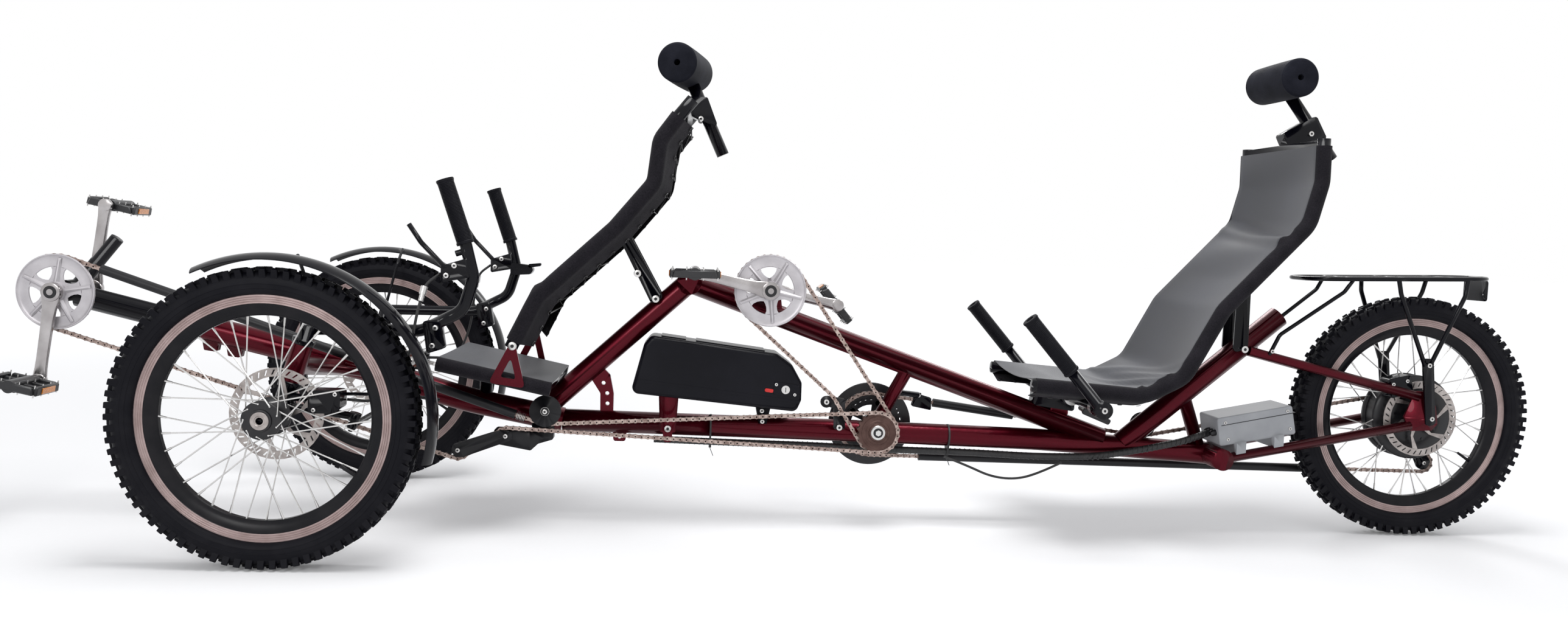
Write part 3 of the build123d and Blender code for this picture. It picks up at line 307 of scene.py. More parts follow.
# ---- Tyres --------------------------------------------------------------------------------
# Knobby 20 inch tyres in black rubber. A smooth sidewall with two fine moulded rings runs
# out to tall shoulder blocks, with staggered rows of lower blocks across the crown.
WHEELS = (
    ("front_left", (FRONT, -0.380, 0.257), -1),
    ("front_right", (FRONT, 0.380, 0.257), 1),
    ("rear", (FRONT + 2.250, 0.0, 0.257), 1),
)
tyre_rubber, mix = finish("tyre_rubber")
dust = mix.noise(28.0, 8.0)
skin = mix.noise(900.0, 3.0)
mix.surface({
    "Base Color": dust.clip(0.42, 0.75).tint((0.0028, 0.0028, 0.0052), (0.0080, 0.0078, 0.0105)),
    "Roughness": 0.42 + dust * 0.22,
    "Specular IOR Level": 0.12,
    "Normal": mix.bump(0.25, 0.0003, skin),
})
TYRE_SIDE = (
    (0.0, 0.2505), (0.0080, 0.2500), (0.0150, 0.2482), (0.0205, 0.2444), (0.0240, 0.2388),
    (0.0256, 0.2330), (0.0261, 0.2284), (0.0266, 0.2280), (0.0262, 0.2276), (0.0258, 0.2230),
    (0.0254, 0.2202), (0.0258, 0.2199), (0.0253, 0.2196), (0.0236, 0.2150), (0.0200, 0.2112),
    (0.0158, 0.2098), (0.0130, 0.2090), (0.0120, 0.2062), (0.0, 0.2060),
)


def turned(outline, steps):
    """A shape turned about an axle; the outline is (side, radius) pairs."""
    shape = bmesh.new()
    corners = [shape.verts.new((0.0, side, radius)) for side, radius in outline]
    around = list(zip(corners, corners[1:]))
    if outline[0][1] > 0.0:
        around.append((corners[-1], corners[0]))
    edges = [shape.edges.new(pair) for pair in around]
    bmesh.ops.spin(shape, geom=corners + edges, cent=(0, 0, 0), axis=(0, 1, 0),
                   angle=2 * pi, steps=steps, use_merge=True)
    return shape


def repeat_round(shape, geometry, count):
    """Copies part of a shape round the axle until there are count of it."""
    bmesh.ops.spin(shape, geom=geometry, cent=(0, 0, 0), axis=(0, 1, 0),
                   angle=2 * pi * (count - 1) / count, steps=count - 1, use_duplicate=True)


def block(shape, size, taper, place, tilt=0.0, bevel=0.0006):
    """A moulded block on the tyre: its top is smaller than its foot and its edges round."""
    corners = bmesh.ops.create_cube(shape, size=1.0)["verts"]
    for corner in corners:
        if corner.co.z > 0:
            corner.co.x *= taper[0]
            corner.co.y *= taper[1]
    bmesh.ops.scale(shape, verts=corners, vec=size)
    bmesh.ops.rotate(shape, verts=corners, cent=(0, 0, 0), matrix=Matrix.Rotation(tilt, 3, "X"))
    bmesh.ops.translate(shape, verts=corners, vec=place)
    edges = list({edge for corner in corners for edge in corner.link_edges})
    rounded = bmesh.ops.bevel(shape, geom=edges, offset=bevel, segments=1, profile=0.5,
                              affect="EDGES", material=-1)
    verts = list({v for face in rounded["faces"] for v in face.verts})
    faces = list({face for v in verts for face in v.link_faces})
    return verts + list({edge for face in faces for edge in face.edges}) + faces


def verts_of(geometry):
    """The corners among the parts of a mesh that an operator gives back."""
    return [part for part in geometry if isinstance(part, bmesh.types.BMVert)]


for name, hub, out in WHEELS:
    tyre = turned([(-side, radius) for side, radius in TYRE_SIDE[:0:-1]] +
                  list(TYRE_SIDE[:-1]), 120)
    for side in (-1, 1):
        for size, taper, place, tilt, count, start in (
            ((0.0135, 0.0100, 0.0230), (0.70, 0.62), (0.0, 0.0212, 0.2425), 20, 80, 0.0),
            ((0.0150, 0.0070, 0.0090), (0.84, 0.80), (0.0, 0.0125, 0.2500), 9, 40, 2.2),
            ((0.0150, 0.0080, 0.0090), (0.84, 0.80), (0.0, 0.0050, 0.2515), 3, 40, 6.7),
        ):
            lug = block(tyre, size, taper, (place[0], side * place[1], place[2]),
                        tilt=-side * radians(tilt))
            bmesh.ops.rotate(tyre, verts=verts_of(lug), cent=(0, 0, 0),
                             matrix=Matrix.Rotation(radians(start + 2.25 * (side > 0)), 3, "Y"))
            repeat_round(tyre, lug, count)
    bmesh.ops.translate(tyre, verts=tyre.verts, vec=hub)
    tyre = piece(tyre, f"{name}_knobby_tyre", f"wheel_{name}", tyre_rubber, crease=30.0)
    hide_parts(f"{name}_tyre")

# ---- Rims ---------------------------------------------------------------------------------
# Deep alloy rims in black anodise. The brake tracks on both flanks are machined bare and
# carry three fine wear grooves; the tyre valve comes through the inner face.
rim_black, mix = finish("rim_black_anodise")
dust = mix.noise(30.0, 7.0)
mix.surface({
    "Base Color": dust.clip(0.4, 0.8).tint((0.004, 0.004, 0.006), (0.011, 0.010, 0.012)),
    "Roughness": 0.20 + dust * 0.2,
    "Specular IOR Level": 0.17,
})
RIM_OUTLINE = (
    (-0.0150, 0.2096), (-0.0128, 0.2096), (-0.0125, 0.2050), (0.0125, 0.2050),
    (0.0128, 0.2096), (0.0150, 0.2096),
    (0.0150, 0.2068), (0.0143, 0.2062), (0.0143, 0.2056), (0.0150, 0.2050),
    (0.0150, 0.2032), (0.0143, 0.2026), (0.0143, 0.2020), (0.0150, 0.2014),
    (0.0150, 0.1996), (0.0143, 0.1990), (0.0143, 0.1984), (0.0150, 0.1978),
    (0.0150, 0.1952), (0.0141, 0.1945), (0.0136, 0.1900), (0.0112, 0.1830),
    (0.0080, 0.1765), (0.0050, 0.1742),
)
for name, hub, out in WHEELS:
    machined, mix = finish(f"{name}_machined_track")
    spot = mix.node("TexCoord", out="Object")
    from_hub = mix.node("Mapping", {}, {"Vector": spot,
                                        "Location": (-hub[0], -hub[1], -hub[2])})
    across, upward = (mix.node("SeparateXYZ", {}, {"Vector": from_hub}, axis) for axis in "XZ")
    reach = mix.math("SQRT", across * across + upward * upward)
    lines = mix.math("SINE", reach * 9000.0)
    wear = mix.noise(40.0, 6.0)
    mix.surface({
        "Base Color": (wear * 0.7 + lines * 0.10).clip(0.1, 0.6).tint(
            (0.26, 0.19, 0.18), (0.46, 0.36, 0.35)),
        "Metallic": 0.85,
        "Roughness": 0.30 + wear * 0.2,
        "Normal": mix.bump(0.2, 0.0001, lines),
    })
    rim = turned(list(RIM_OUTLINE) + [(-side, radius) for side, radius in RIM_OUTLINE[:4:-1]],
                 144)
    for face in rim.faces:
        middle = face.calc_center_median()
        face.material_index = int(hypot(middle.x, middle.z) < 0.1950
                                  or abs(face.normal.y) < 0.25 and abs(middle.y) < 0.0146)
    valve = bmesh.ops.create_cone(rim, cap_ends=True, segments=10, radius1=0.0032,
                                  radius2=0.0026, depth=0.032)["verts"]
    bmesh.ops.translate(rim, verts=valve, vec=(0, 0, -0.1610))
    bmesh.ops.rotate(rim, verts=valve, cent=(0, 0, 0),
                     matrix=Matrix.Rotation(radians(-57), 3, "Y"))
    for face in {face for v in valve for face in v.link_faces}:
        face.material_index = 1
    bmesh.ops.translate(rim, verts=rim.verts, vec=hub)
    rim = piece(rim, f"{name}_deep_rim", f"wheel_{name}", machined, rim_black)
    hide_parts(f"{name}_rim")

# ---- Spokes -------------------------------------------------------------------------------
# Thirty six bright stainless spokes to a wheel, laced in crossed pairs from both hub flanges.
# A tapered nipple holds each one in the rim, and a tapered head holds it in the flange.
bright_steel, mix = finish("bright_steel")
tone = mix.noise(55.0, 4.0)
mix.surface({
    "Base Color": tone.tint((0.50, 0.49, 0.48), (0.72, 0.71, 0.70)),
    "Metallic": 1.0,
    "Roughness": 0.20 + tone * 0.18,
})


def turn_to(direction):
    """The turn that stands a part's Z axis along a direction."""
    return direction.to_track_quat("Z", "Y").to_matrix().to_4x4()


def rod(shape, start, end, radius, far_radius=None, sides=8, index=0):
    """A round rod or cone from one point to another."""
    start, end = Vector(start), Vector(end)
    made = bmesh.ops.create_cone(shape, cap_ends=True, segments=sides, radius1=radius,
                                 radius2=radius if far_radius is None else far_radius,
                                 depth=(end - start).length)["verts"]
    bmesh.ops.transform(shape, verts=made, matrix=Matrix.Translation((start + end) / 2)
                        @ turn_to(end - start))
    for face in {face for v in made for face in v.link_faces}:
        face.material_index = index
    return made


SPOKES_A_SIDE = 18
RIM_HOLES = 0.1745                      # radius at which the spokes meet the rim
for name, hub, out in WHEELS:
    rear = name == "rear"
    flange, hole_radius, lead_angle = (0.020, 0.086, 16.0) if rear else (0.025, 0.028, 62.0)
    spokes = bmesh.new()
    for side in (-1, 1):
        for step in range(SPOKES_A_SIDE):
            turn = 1 if step % 2 else -1
            rim_angle = radians(step * 360 / SPOKES_A_SIDE + (10 if side > 0 else 0))
            hub_angle = rim_angle + radians(lead_angle) * turn
            lacing = side * flange + turn * 0.003
            inner = Vector((hole_radius * cos(hub_angle), lacing, hole_radius * sin(hub_angle)))
            outer = Vector((RIM_HOLES * cos(rim_angle), side * 0.003,
                            RIM_HOLES * sin(rim_angle)))
            run = (outer - inner).normalized()
            rod(spokes, inner, outer, 0.00125, sides=6)
            rod(spokes, outer - run * 0.014, outer + run * 0.002, 0.0017, 0.0022, sides=6)
            rod(spokes, inner - Vector((0, turn * 0.001, 0)),
                inner + Vector((0, turn * 0.0014, 0)), 0.0022, 0.0014)
    bmesh.ops.translate(spokes, verts=spokes.verts, vec=hub)
    spokes = piece(spokes, f"{name}_laced_spokes", f"wheel_{name}", bright_steel)
    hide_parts(f"{name}_spokes")

# ---- Hubs and brake discs -----------------------------------------------------------------
# Black anodised hub shells turned from bar, with drilled spoke flanges and a bright outer
# bearing cover. The stainless brake discs are stamped with slanted slots and bolt to the
# inner side; the rear hub is a wide geared motor with the sprocket stack on its right.
# Black anodise, also painted shade in screw and crank recesses, eyelet holes and the key slot.
black_anodise_and_shade, mix = finish("black_anodise_and_painted_shade")
dust = mix.noise(80.0, 6.0)
mix.surface({
    "Base Color": dust.clip(0.4, 0.8).tint((0.006, 0.006, 0.008), (0.016, 0.014, 0.016)),
    "Metallic": 0.2,
    "Roughness": 0.26 + dust * 0.2,
})
disc_steel, mix = finish("brake_disc_steel")
tone = mix.noise(70.0, 6.0)
mix.surface({
    "Base Color": tone.clip(0.3, 0.7).tint((0.28, 0.25, 0.24), (0.48, 0.44, 0.42)),
    "Metallic": 0.9,
    "Roughness": 0.30 + tone * 0.22,
})
FRONT_HUB = (
    (-0.052, 0.0062), (-0.052, 0.0215), (-0.0505, 0.0220), (-0.0475, 0.0220), (-0.043, 0.0160),
    (-0.029, 0.0150), (-0.0275, 0.0320), (-0.0265, 0.0330), (-0.0235, 0.0330),
    (-0.0225, 0.0320), (-0.020, 0.0180), (-0.012, 0.0165), (0.012, 0.0165), (0.020, 0.0180),
    (0.0225, 0.0320), (0.0235, 0.0330), (0.0265, 0.0330), (0.0275, 0.0320), (0.0285, 0.0190),
    (0.0320, 0.0185), (0.0325, 0.0165), (0.0325, 0.0062),
)
MOTOR_HUB = (
    (-0.058, 0.0062), (-0.058, 0.0190), (-0.056, 0.0200), (-0.036, 0.0220), (-0.034, 0.0420),
    (-0.032, 0.0560), (-0.030, 0.0600), (-0.0275, 0.0820), (-0.026, 0.0850),
    (-0.0235, 0.0890), (-0.0215, 0.0900), (-0.017, 0.0900), (-0.015, 0.0845), (0.015, 0.0845),
    (0.017, 0.0900), (0.0215, 0.0900), (0.0235, 0.0890), (0.026, 0.0850), (0.0275, 0.0820),
    (0.030, 0.0600), (0.032, 0.0560), (0.033, 0.0200), (0.056, 0.0185), (0.058, 0.0175),
    (0.058, 0.0062),
)
BEARING_COVER = (
    (0.0320, 0.0062), (0.0320, 0.0148), (0.0345, 0.0152), (0.0350, 0.0146),
    (0.0350, 0.0088), (0.0340, 0.0080), (0.0340, 0.0062),
)
DISC_RADIUS = 0.0800


def on_wheel(radius, turn, side=0.0):
    """A place on a wheel about the Y axis, from its radius, degrees round and offset."""
    return radius * cos(radians(turn)), side, radius * sin(radians(turn))


def plate_cell(shape, radii, angles, side, hole=None):
    """One repeat of a flat ring: a sector from the inner to the outer radius, with a slot
    through it where hole gives the slot's corners as (radius, degrees) pairs."""
    def corner(radius, turn):
        return shape.verts.new(on_wheel(radius, turn, side))
    inner, outer = radii
    first, last = angles
    rim = [corner(outer, first), corner(outer, last), corner(inner, last), corner(inner, first)]
    if hole is None:
        faces = [shape.faces.new(rim)]
    else:
        slot = [corner(*place) for place in hole]
        faces = [shape.faces.new((rim[i], rim[(i + 1) % 4], slot[(i + 1) % 4], slot[i]))
                 for i in range(4)]
        rim += slot
    return rim + list({edge for face in faces for edge in face.edges}) + faces


for name, hub, out in WHEELS:
    rear = name == "rear"
    outline = [(out * side, radius) for side, radius in (MOTOR_HUB if rear else FRONT_HUB)]
    shell = turned(outline, 48)
    if rear:
        heads, bolt_circle, size, count = (
            ((-0.0322, -0.0345), (0.0322, 0.0345)), 0.048, 0.0030, 9)
    else:
        heads, bolt_circle, size, count = (
            ((-out * 0.0500, -out * 0.0550),), 0.0150, 0.0024, 6)
    bolt = [vert for foot, top in heads
            for vert in rod(shell, (0, foot, bolt_circle), (0, top, bolt_circle), size, sides=6)]
    near = {face for v in bolt for face in v.link_faces}
    repeat_round(shell, bolt + list({e for f in near for e in f.edges}) + list(near), count)
    bmesh.ops.translate(shell, verts=shell.verts, vec=hub)
    shell = piece(shell, f"{name}_hub_shell", f"wheel_{name}", black_anodise_and_shade)
    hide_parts(f"{name}_hub")

    if not rear:
        cover = turned([(out * side, radius) for side, radius in BEARING_COVER], 40)
        bmesh.ops.translate(cover, verts=cover.verts, vec=hub)
        cover = piece(cover, f"{name}_bearing_cover", f"wheel_{name}", disc_steel)

    disc = bmesh.new()
    side = -0.0470 if rear else out * -0.0509
    cell = plate_cell(disc, (0.0650, DISC_RADIUS), (0.0, 10.0), side,
                      ((0.0768, 2.2), (0.0768, 4.6), (0.0682, 8.4), (0.0682, 6.0)))
    repeat_round(disc, cell, 36)
    for spoke in range(6):
        turn = spoke * 60.0
        arm = [disc.verts.new(on_wheel(radius, turn + lean, side)) for radius, lean in (
            (0.0655, 20.0), (0.0655, 30.0), (0.0400, 12.0), (0.0215, 12.0), (0.0215, -14.0),
            (0.0400, 4.0))]
        disc.faces.new(arm)
    ring = plate_cell(disc, (0.0168, 0.0222), (0.0, 15.0), side)
    repeat_round(disc, ring, 24)
    bmesh.ops.remove_doubles(disc, verts=disc.verts, dist=1e-6)
    bmesh.ops.recalc_face_normals(disc, faces=disc.faces)
    bmesh.ops.solidify(disc, geom=disc.faces, thickness=0.0018)
    bmesh.ops.translate(disc, verts=disc.verts, vec=hub)
    disc = piece(disc, f"{name}_brake_disc", f"wheel_{name}", disc_steel)

# ---- Sprocket stack -----------------------------------------------------------------------
# Five sprockets on the motor hub's right, each smaller towards the outside. Their oiled
# steel varies from a dark brown to a warm grey.
sprocket_steel, mix = finish("oiled_steel")
tone = mix.noise(160.0, 6.0)
mix.surface({
    "Base Color": tone.clip(0.35, 0.7).tint((0.085, 0.062, 0.052), (0.30, 0.25, 0.22)),
    "Metallic": 0.85,
    "Roughness": 0.34 + tone * 0.25,
})


def add_part(shape, part, place=None):
    """Adds a small shape that was made by itself to a larger one, moved to its place."""
    mesh = bpy.data.meshes.new("part")
    part.to_mesh(mesh)
    part.free()
    if place is not None:
        mesh.transform(place)
    shape.from_mesh(mesh)
    bpy.data.meshes.remove(mesh)


def sprocket(shape, centre, radius, teeth, thickness, bore):
    """A toothed wheel: one tooth's sector is repeated round the axle and given its thickness."""
    step = 360.0 / teeth
    wheel = bmesh.new()
    tooth = [wheel.verts.new(on_wheel(reach, turn)) for reach, turn in (
        (bore, 0.0), (radius - 0.0042, 0.0), (radius - 0.0036, step * 0.16),
        (radius, step * 0.40), (radius, step * 0.60), (radius - 0.0036, step * 0.84),
        (radius - 0.0042, step), (bore, step))]
    face = wheel.faces.new(tooth)
    repeat_round(wheel, tooth + list(face.edges) + [face], teeth)
    bmesh.ops.remove_doubles(wheel, verts=wheel.verts, dist=1e-6)
    bmesh.ops.recalc_face_normals(wheel, faces=wheel.faces)
    bmesh.ops.solidify(wheel, geom=wheel.faces, thickness=thickness)
    middle = sum(corner.co.y for corner in wheel.verts) / len(wheel.verts)
    bmesh.ops.translate(wheel, verts=wheel.verts, vec=Vector(centre) - Vector((0, middle, 0)))
    add_part(shape, wheel)


stack = bmesh.new()
REAR_AXLE = WHEELS[2][1]
for offset, radius, teeth in ((0.0370, 0.0540, 27), (0.0415, 0.0480, 24), (0.0460, 0.0420, 21),
                              (0.0505, 0.0360, 18), (0.0550, 0.0300, 15)):
    sprocket(stack, (REAR_AXLE[0], offset, REAR_AXLE[2]), radius, teeth, 0.0018, 0.0160)
stack = piece(stack, "sprocket_stack", "wheel_rear", sprocket_steel)

# ---- Crank arms ---------------------------------------------------------------------------
# Forged alloy cranks, polished bright. Each arm swells round the square spindle and round the
# pedal's thread, has a hollow along its outer face, and is held by a bolt in a painted-shade
# recess.
polished_alloy, mix = finish("polished_alloy")
tone = mix.noise(24.0, 6.0)
brush = mix.noise(1300.0, 2.0)
mix.surface({
    "Base Color": tone.clip(0.35, 0.7).tint((0.32, 0.30, 0.30), (0.48, 0.46, 0.46)),
    "Metallic": 1.0,
    "Roughness": 0.15 + tone * 0.12,
    "Normal": mix.bump(0.04, 0.0001, brush),
})
CAPTAIN_LINE, STOKER_LINE, DRIVE_LINE = -0.061, -0.049, 0.0505     # how far aside chains run
CRANK_GAP = 0.018                       # from the chain line to the middle of the arm
# rider, bracket, chain line, reach of the arm, degrees that the left arm points down
CRANKSETS = (
    ("captain", (FRONT - 0.500, 0.439), CAPTAIN_LINE, 0.170, 82.0),
    ("stoker", (FRONT + 0.865, 0.484), STOKER_LINE, 0.155, -12.0),
)


def flattened_loop(shape, width, thickness, place, squareness=0.72):
    """A rounded rectangular loop across the X axis, one section of a forged bar."""
    loop = bmesh.ops.create_circle(shape, cap_ends=False, segments=16, radius=1.0)["verts"]
    for corner in loop:
        across, up = corner.co.x, corner.co.y
        corner.co = (
            place[0],
            place[1] + thickness / 2 * abs(up) ** squareness * (1 if up > 0 else -1),
            place[2] + width / 2 * abs(across) ** squareness * (1 if across > 0 else -1),
        )
    return loop


def forged_bar(shape, sections):
    """A closed bar skinned over sections of (reach, width, thickness, side offset)."""
    loops = [flattened_loop(shape, width, thickness, (reach, side, 0.0))
             for reach, width, thickness, side in sections]
    for first, second in zip(loops, loops[1:]):
        edges = list({e for v in first for e in v.link_edges if e.other_vert(v) in first}
                     | {e for v in second for e in v.link_edges if e.other_vert(v) in second})
        bmesh.ops.bridge_loops(shape, edges=edges)
    for loop in (loops[0], loops[-1]):
        shape.faces.new(loop)


def stamp(shape, part, place):
    """Adds a moved copy of a small finished mesh to a shape."""
    copy = part.copy()
    copy.transform(place)
    shape.from_mesh(copy)
    bpy.data.meshes.remove(copy)


for rider, bracket, chain_y, reach, droop in CRANKSETS:
    arms = bmesh.new()
    arm_y = CRANK_GAP - chain_y
    middle = Vector((bracket[0], 0, bracket[1]))
    for hand in (-1, 1):
        arm = bmesh.new()
        forged_bar(arm, (
            (0.004, 0.0340, 0.0120, 0.0), (0.016, 0.0330, 0.0125, 0.0),
            (0.030, 0.0270, 0.0120, 0.0), (0.050, 0.0240, 0.0118, 0.0),
            (reach * 0.50, 0.0225, 0.0112, 0.0), (reach * 0.75, 0.0215, 0.0108, 0.0),
            (reach - 0.022, 0.0225, 0.0112, 0.0), (reach - 0.009, 0.0250, 0.0118, 0.0),
            (reach + 0.002, 0.0230, 0.0118, 0.0)))
        boss = rod(arm, (0, -0.0075, 0), (0, 0.0075, 0), 0.0180, sides=32)
        boss += rod(arm, (reach, -0.0060, 0), (reach, 0.0060, 0), 0.0130, sides=28)
        rims = list({e for v in boss for e in v.link_edges
                     if e.calc_face_angle(0.0) > radians(60)})
        bmesh.ops.bevel(arm, geom=rims, offset=0.0016, segments=2, profile=0.5,
                        affect="EDGES", material=-1)
        # A dark disc just proud of each boss's outer face is painted shade: the bolt's recess,
        # and round the pedal's thread.
        for place, radius, depth in ((0.0, 0.0120, 0.0076), (reach, 0.0084, 0.0061)):
            rod(arm, (place, hand * (depth - 0.002), 0), (place, hand * (depth + 0.0003), 0),
                radius, sides=24, index=1)
        rod(arm, (0, hand * 0.0070, 0), (0, hand * 0.0088, 0), 0.0060, sides=12)
        rod(arm, (reach, 0, 0), (reach, hand * 0.058, 0), 0.0046, sides=14)
        turn = radians(180 + droop) if hand < 0 else radians(droop)
        add_part(arms, arm, Matrix.Translation(middle + Vector((0, hand * arm_y, 0)))
                 @ Matrix.Rotation(-turn, 4, "Y"))
    rod(arms, middle - Vector((0, arm_y - 0.004, 0)), middle + Vector((0, arm_y - 0.004, 0)),
        0.0080, sides=20)
    arms = piece(arms, f"{rider}_crank_arms", f"{rider}_crank", polished_alloy, black_anodise_and_shade)
    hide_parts(f"{rider}_crankset")

# ---- Chain guards and chainrings ----------------------------------------------------------
# The guard is a cast alloy star in silver paint: a dished rim with a raised lip, five webs
# with windows between them, and a tapered rib on each web. The steel chainring is behind it.
cast_silver, mix = finish("cast_silver_paint")
tone = mix.noise(30.0, 5.0)
sparkle = mix.noise(2600.0, 1.0)
mix.surface({
    "Base Color": (tone * 0.6 + sparkle * 0.4).clip(0.3, 0.7).tint(
        (0.40, 0.38, 0.40), (0.60, 0.58, 0.60)),
    "Metallic": 0.55,
    "Roughness": 0.34 + tone * 0.12,
})
GUARD_RIM = (
    (-0.0012, 0.0724), (-0.0026, 0.0716), (-0.0026, 0.0700), (-0.0012, 0.0686),
    (-0.0002, 0.0640), (-0.0003, 0.0560), (-0.0012, 0.0500), (-0.0012, 0.0484),
    (0.0004, 0.0476), (0.0020, 0.0484), (0.0020, 0.0700), (0.0012, 0.0724),
)
for rider, bracket, chain_y, reach, droop in CRANKSETS:
    guard = turned(GUARD_RIM, 90)
    web = [guard.verts.new(on_wheel(radius, turn, 0.0012)) for radius, turn in (
        (0.0490, -17), (0.0490, 17), (0.0420, 15), (0.0340, 18), (0.0285, 25), (0.0250, 36),
        (0.0140, 36), (0.0140, 0), (0.0140, -36), (0.0250, -36), (0.0285, -25),
        (0.0340, -18), (0.0420, -15))]
    plate = guard.faces.new(web)
    grown = bmesh.ops.extrude_face_region(guard, geom=[plate])["geom"]
    bmesh.ops.translate(guard, verts=verts_of(grown), vec=(0, -0.0026, 0))
    rib = bmesh.ops.create_cube(guard, size=1.0)["verts"]
    for corner in rib:
        outward, tip = corner.co.y < 0, corner.co.x > 0
        corner.co = (
            (0.0655 if not outward else 0.0610) if tip else 0.0150,
            -0.0014 if not outward else (-0.0036 if tip else -0.0062),
            (corner.co.z > 0 or -1) * (0.0012 if outward else 0.0034 if tip else 0.0062),
        )
    geometry = set(web) | set(rib) | set(verts_of(grown))
    faces = {f for v in geometry for f in v.link_faces}
    edges = {e for f in faces for e in f.edges}
    repeat_round(guard, list(geometry) + list(edges) + list(faces), 5)
    turn = radians(180 + droop + 36)
    bmesh.ops.rotate(guard, verts=guard.verts, cent=(0, 0, 0),
                     matrix=Matrix.Rotation(-turn, 3, "Y"))
    rod(guard, (0, 0.0030, 0), (0, -0.0080, 0), 0.0215, 0.0190, sides=36)
    bmesh.ops.translate(guard, verts=guard.verts, vec=(bracket[0], chain_y - 0.0050, bracket[1]))
    guard = piece(guard, f"{rider}_chain_guard", f"{rider}_crank", cast_silver)

    ring = bmesh.new()
    sprocket(ring, (bracket[0], chain_y, bracket[1]), 0.0712, 34, 0.0020, 0.0540)
    for step in range(5):
        turn = radians(180 + droop + 36 + 72 * step)
        place = Vector((bracket[0] + 0.0560 * cos(turn), chain_y,
                        bracket[1] + 0.0560 * sin(turn)))
        rod(ring, place - Vector((0, 0.0040, 0)), place + Vector((0, 0.0022, 0)), 0.0050,
            sides=14)
    ring = piece(ring, f"{rider}_chainring", f"{rider}_crank", sprocket_steel)

# ---- Pedals -------------------------------------------------------------------------------
# Black moulded platform pedals. A frame and two ribs stand round the barrel with its
# bearings, short pins grip the shoe, and an amber reflector clips into either end.
pedal_nylon, mix = finish("pedal_nylon")
grit = mix.noise(500.0, 4.0)
mix.surface({
    "Base Color": grit.tint((0.006, 0.006, 0.008), (0.016, 0.016, 0.018)),
    "Roughness": 0.30 + grit * 0.16,
    "Normal": mix.bump(0.2, 0.0002, grit),
})
amber_lens, mix = finish("amber_reflector")
spot = mix.node("TexCoord", out="Object")
# Each prism cell is painted lighter in the middle and darker to its edges, a painted glint; the
# same cells raise the bump.
prism = mix.node("TexVoronoi", {}, {"Vector": spot, "Scale": 420.0}, "Distance")
mix.surface({
    "Base Color": prism.clip(0.0, 0.8).tint((0.85, 0.32, 0.03), (0.50, 0.14, 0.01)),
    "Roughness": 0.16,
    "Coat Weight": 0.7,
    "Normal": mix.bump(0.4, 0.0004, prism),
})
PEDAL_TILT = {("captain", "left"): 12.0, ("captain", "right"): 12.0,
              ("stoker", "left"): 0.0, ("stoker", "right"): 50.0}
for rider, bracket, chain_y, reach, droop in CRANKSETS:
    for hand_name, hand in (("left", -1), ("right", 1)):
        turn = radians(180 + droop) if hand < 0 else radians(droop)
        middle = Vector((bracket[0] + cos(turn) * reach, hand * (CRANK_GAP - chain_y + 0.060),
                         bracket[1] + sin(turn) * reach))
        pedal = bmesh.new()
        for size, place, index in (
            [((0.0090, 0.0780, 0.0170), (end * 0.0440, 0, 0), 0) for end in (-1, 1)]
            + [((0.0880, 0.0080, 0.0150), (0, side * 0.0415, 0), 0) for side in (-1, 1)]
            + [((0.0860, 0.0050, 0.0110), (0, side * 0.0140, 0), 0) for side in (-1, 1)]
            + [((0.0260, 0.0860, 0.0190), (0, 0, 0), 0)]
            + [((0.0035, 0.0440, 0.0110), (end * 0.0482, 0, 0), 1) for end in (-1, 1)]
        ):
            made = block(pedal, size, (0.9, 0.97), place, bevel=0.0022 if index == 0 else 0.0006)
            for face in made:
                if isinstance(face, bmesh.types.BMFace):
                    face.material_index = index
        rod(pedal, (0, -0.0450, 0), (0, 0.0450, 0), 0.0118, sides=24)
        for end in (-0.0435, -0.0160, 0.0160, 0.0435):
            for side in (-0.0400, -0.0130, 0.0130, 0.0400):
                for face in (-1, 1):
                    rod(pedal, (end, side, face * 0.0060), (end, side, face * 0.0117), 0.0015,
                        0.0011, sides=6, index=2)
        bmesh.ops.transform(pedal, verts=pedal.verts, matrix=Matrix.Translation(middle)
                            @ Matrix.Rotation(radians(PEDAL_TILT[rider, hand_name]), 4, "Y"))
        pedal = piece(pedal, f"{rider}_platform_{hand_name}", f"{rider}_pedal_{hand_name}",
                      pedal_nylon, amber_lens, bright_steel)
        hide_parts(f"{rider}_pedal_{hand_name}")

# ---- Cross shaft --------------------------------------------------------------------------
# A shaft through the lower tube. Two oiled freewheels on its left take the riders' chains;
# the black rings and guard on its right send the drive to the rear wheel.
SHAFT = (FRONT + 1.093, 0.203)
drive = turned((
    (-0.0660, 0.0), (-0.0660, 0.0080), (-0.0672, 0.0086), (-0.0672, 0.0140), (-0.0660, 0.0150),
    (-0.0655, 0.0180), (-0.0640, 0.0190), (-0.0640, 0.0240), (-0.0632, 0.0250),
    (-0.0632, 0.0330), (-0.0590, 0.0340), (-0.0590, 0.0300), (-0.0510, 0.0300),
    (-0.0510, 0.0335), (-0.0460, 0.0335), (-0.0460, 0.0300), (-0.0440, 0.0290),
    (-0.0440, 0.0)), 48)
bmesh.ops.translate(drive, verts=drive.verts, vec=(SHAFT[0], 0, SHAFT[1]))
for face in drive.faces:
    middle = face.calc_center_median()
    reach = hypot(middle.x - SHAFT[0], middle.z - SHAFT[1])
    face.material_index = 1 if reach < 0.0150 and middle.y < -0.0655 else 0
for chain_y in (CAPTAIN_LINE, STOKER_LINE):
    sprocket(drive, (SHAFT[0], chain_y, SHAFT[1]), 0.0430, 20, 0.0022, 0.0280)
for near, far, radius, sides, index in ((-0.0662, -0.0700, 0.0062, 6, 1),
                                        (-0.0670, -0.0674, 0.0100, 24, 2)):
    rod(drive, (SHAFT[0], near, SHAFT[1]), (SHAFT[0], far, SHAFT[1]), radius, sides=sides,
        index=index)
freewheel_brown, mix = finish("freewheel_brown_steel")
tone = mix.noise(60.0, 6.0)
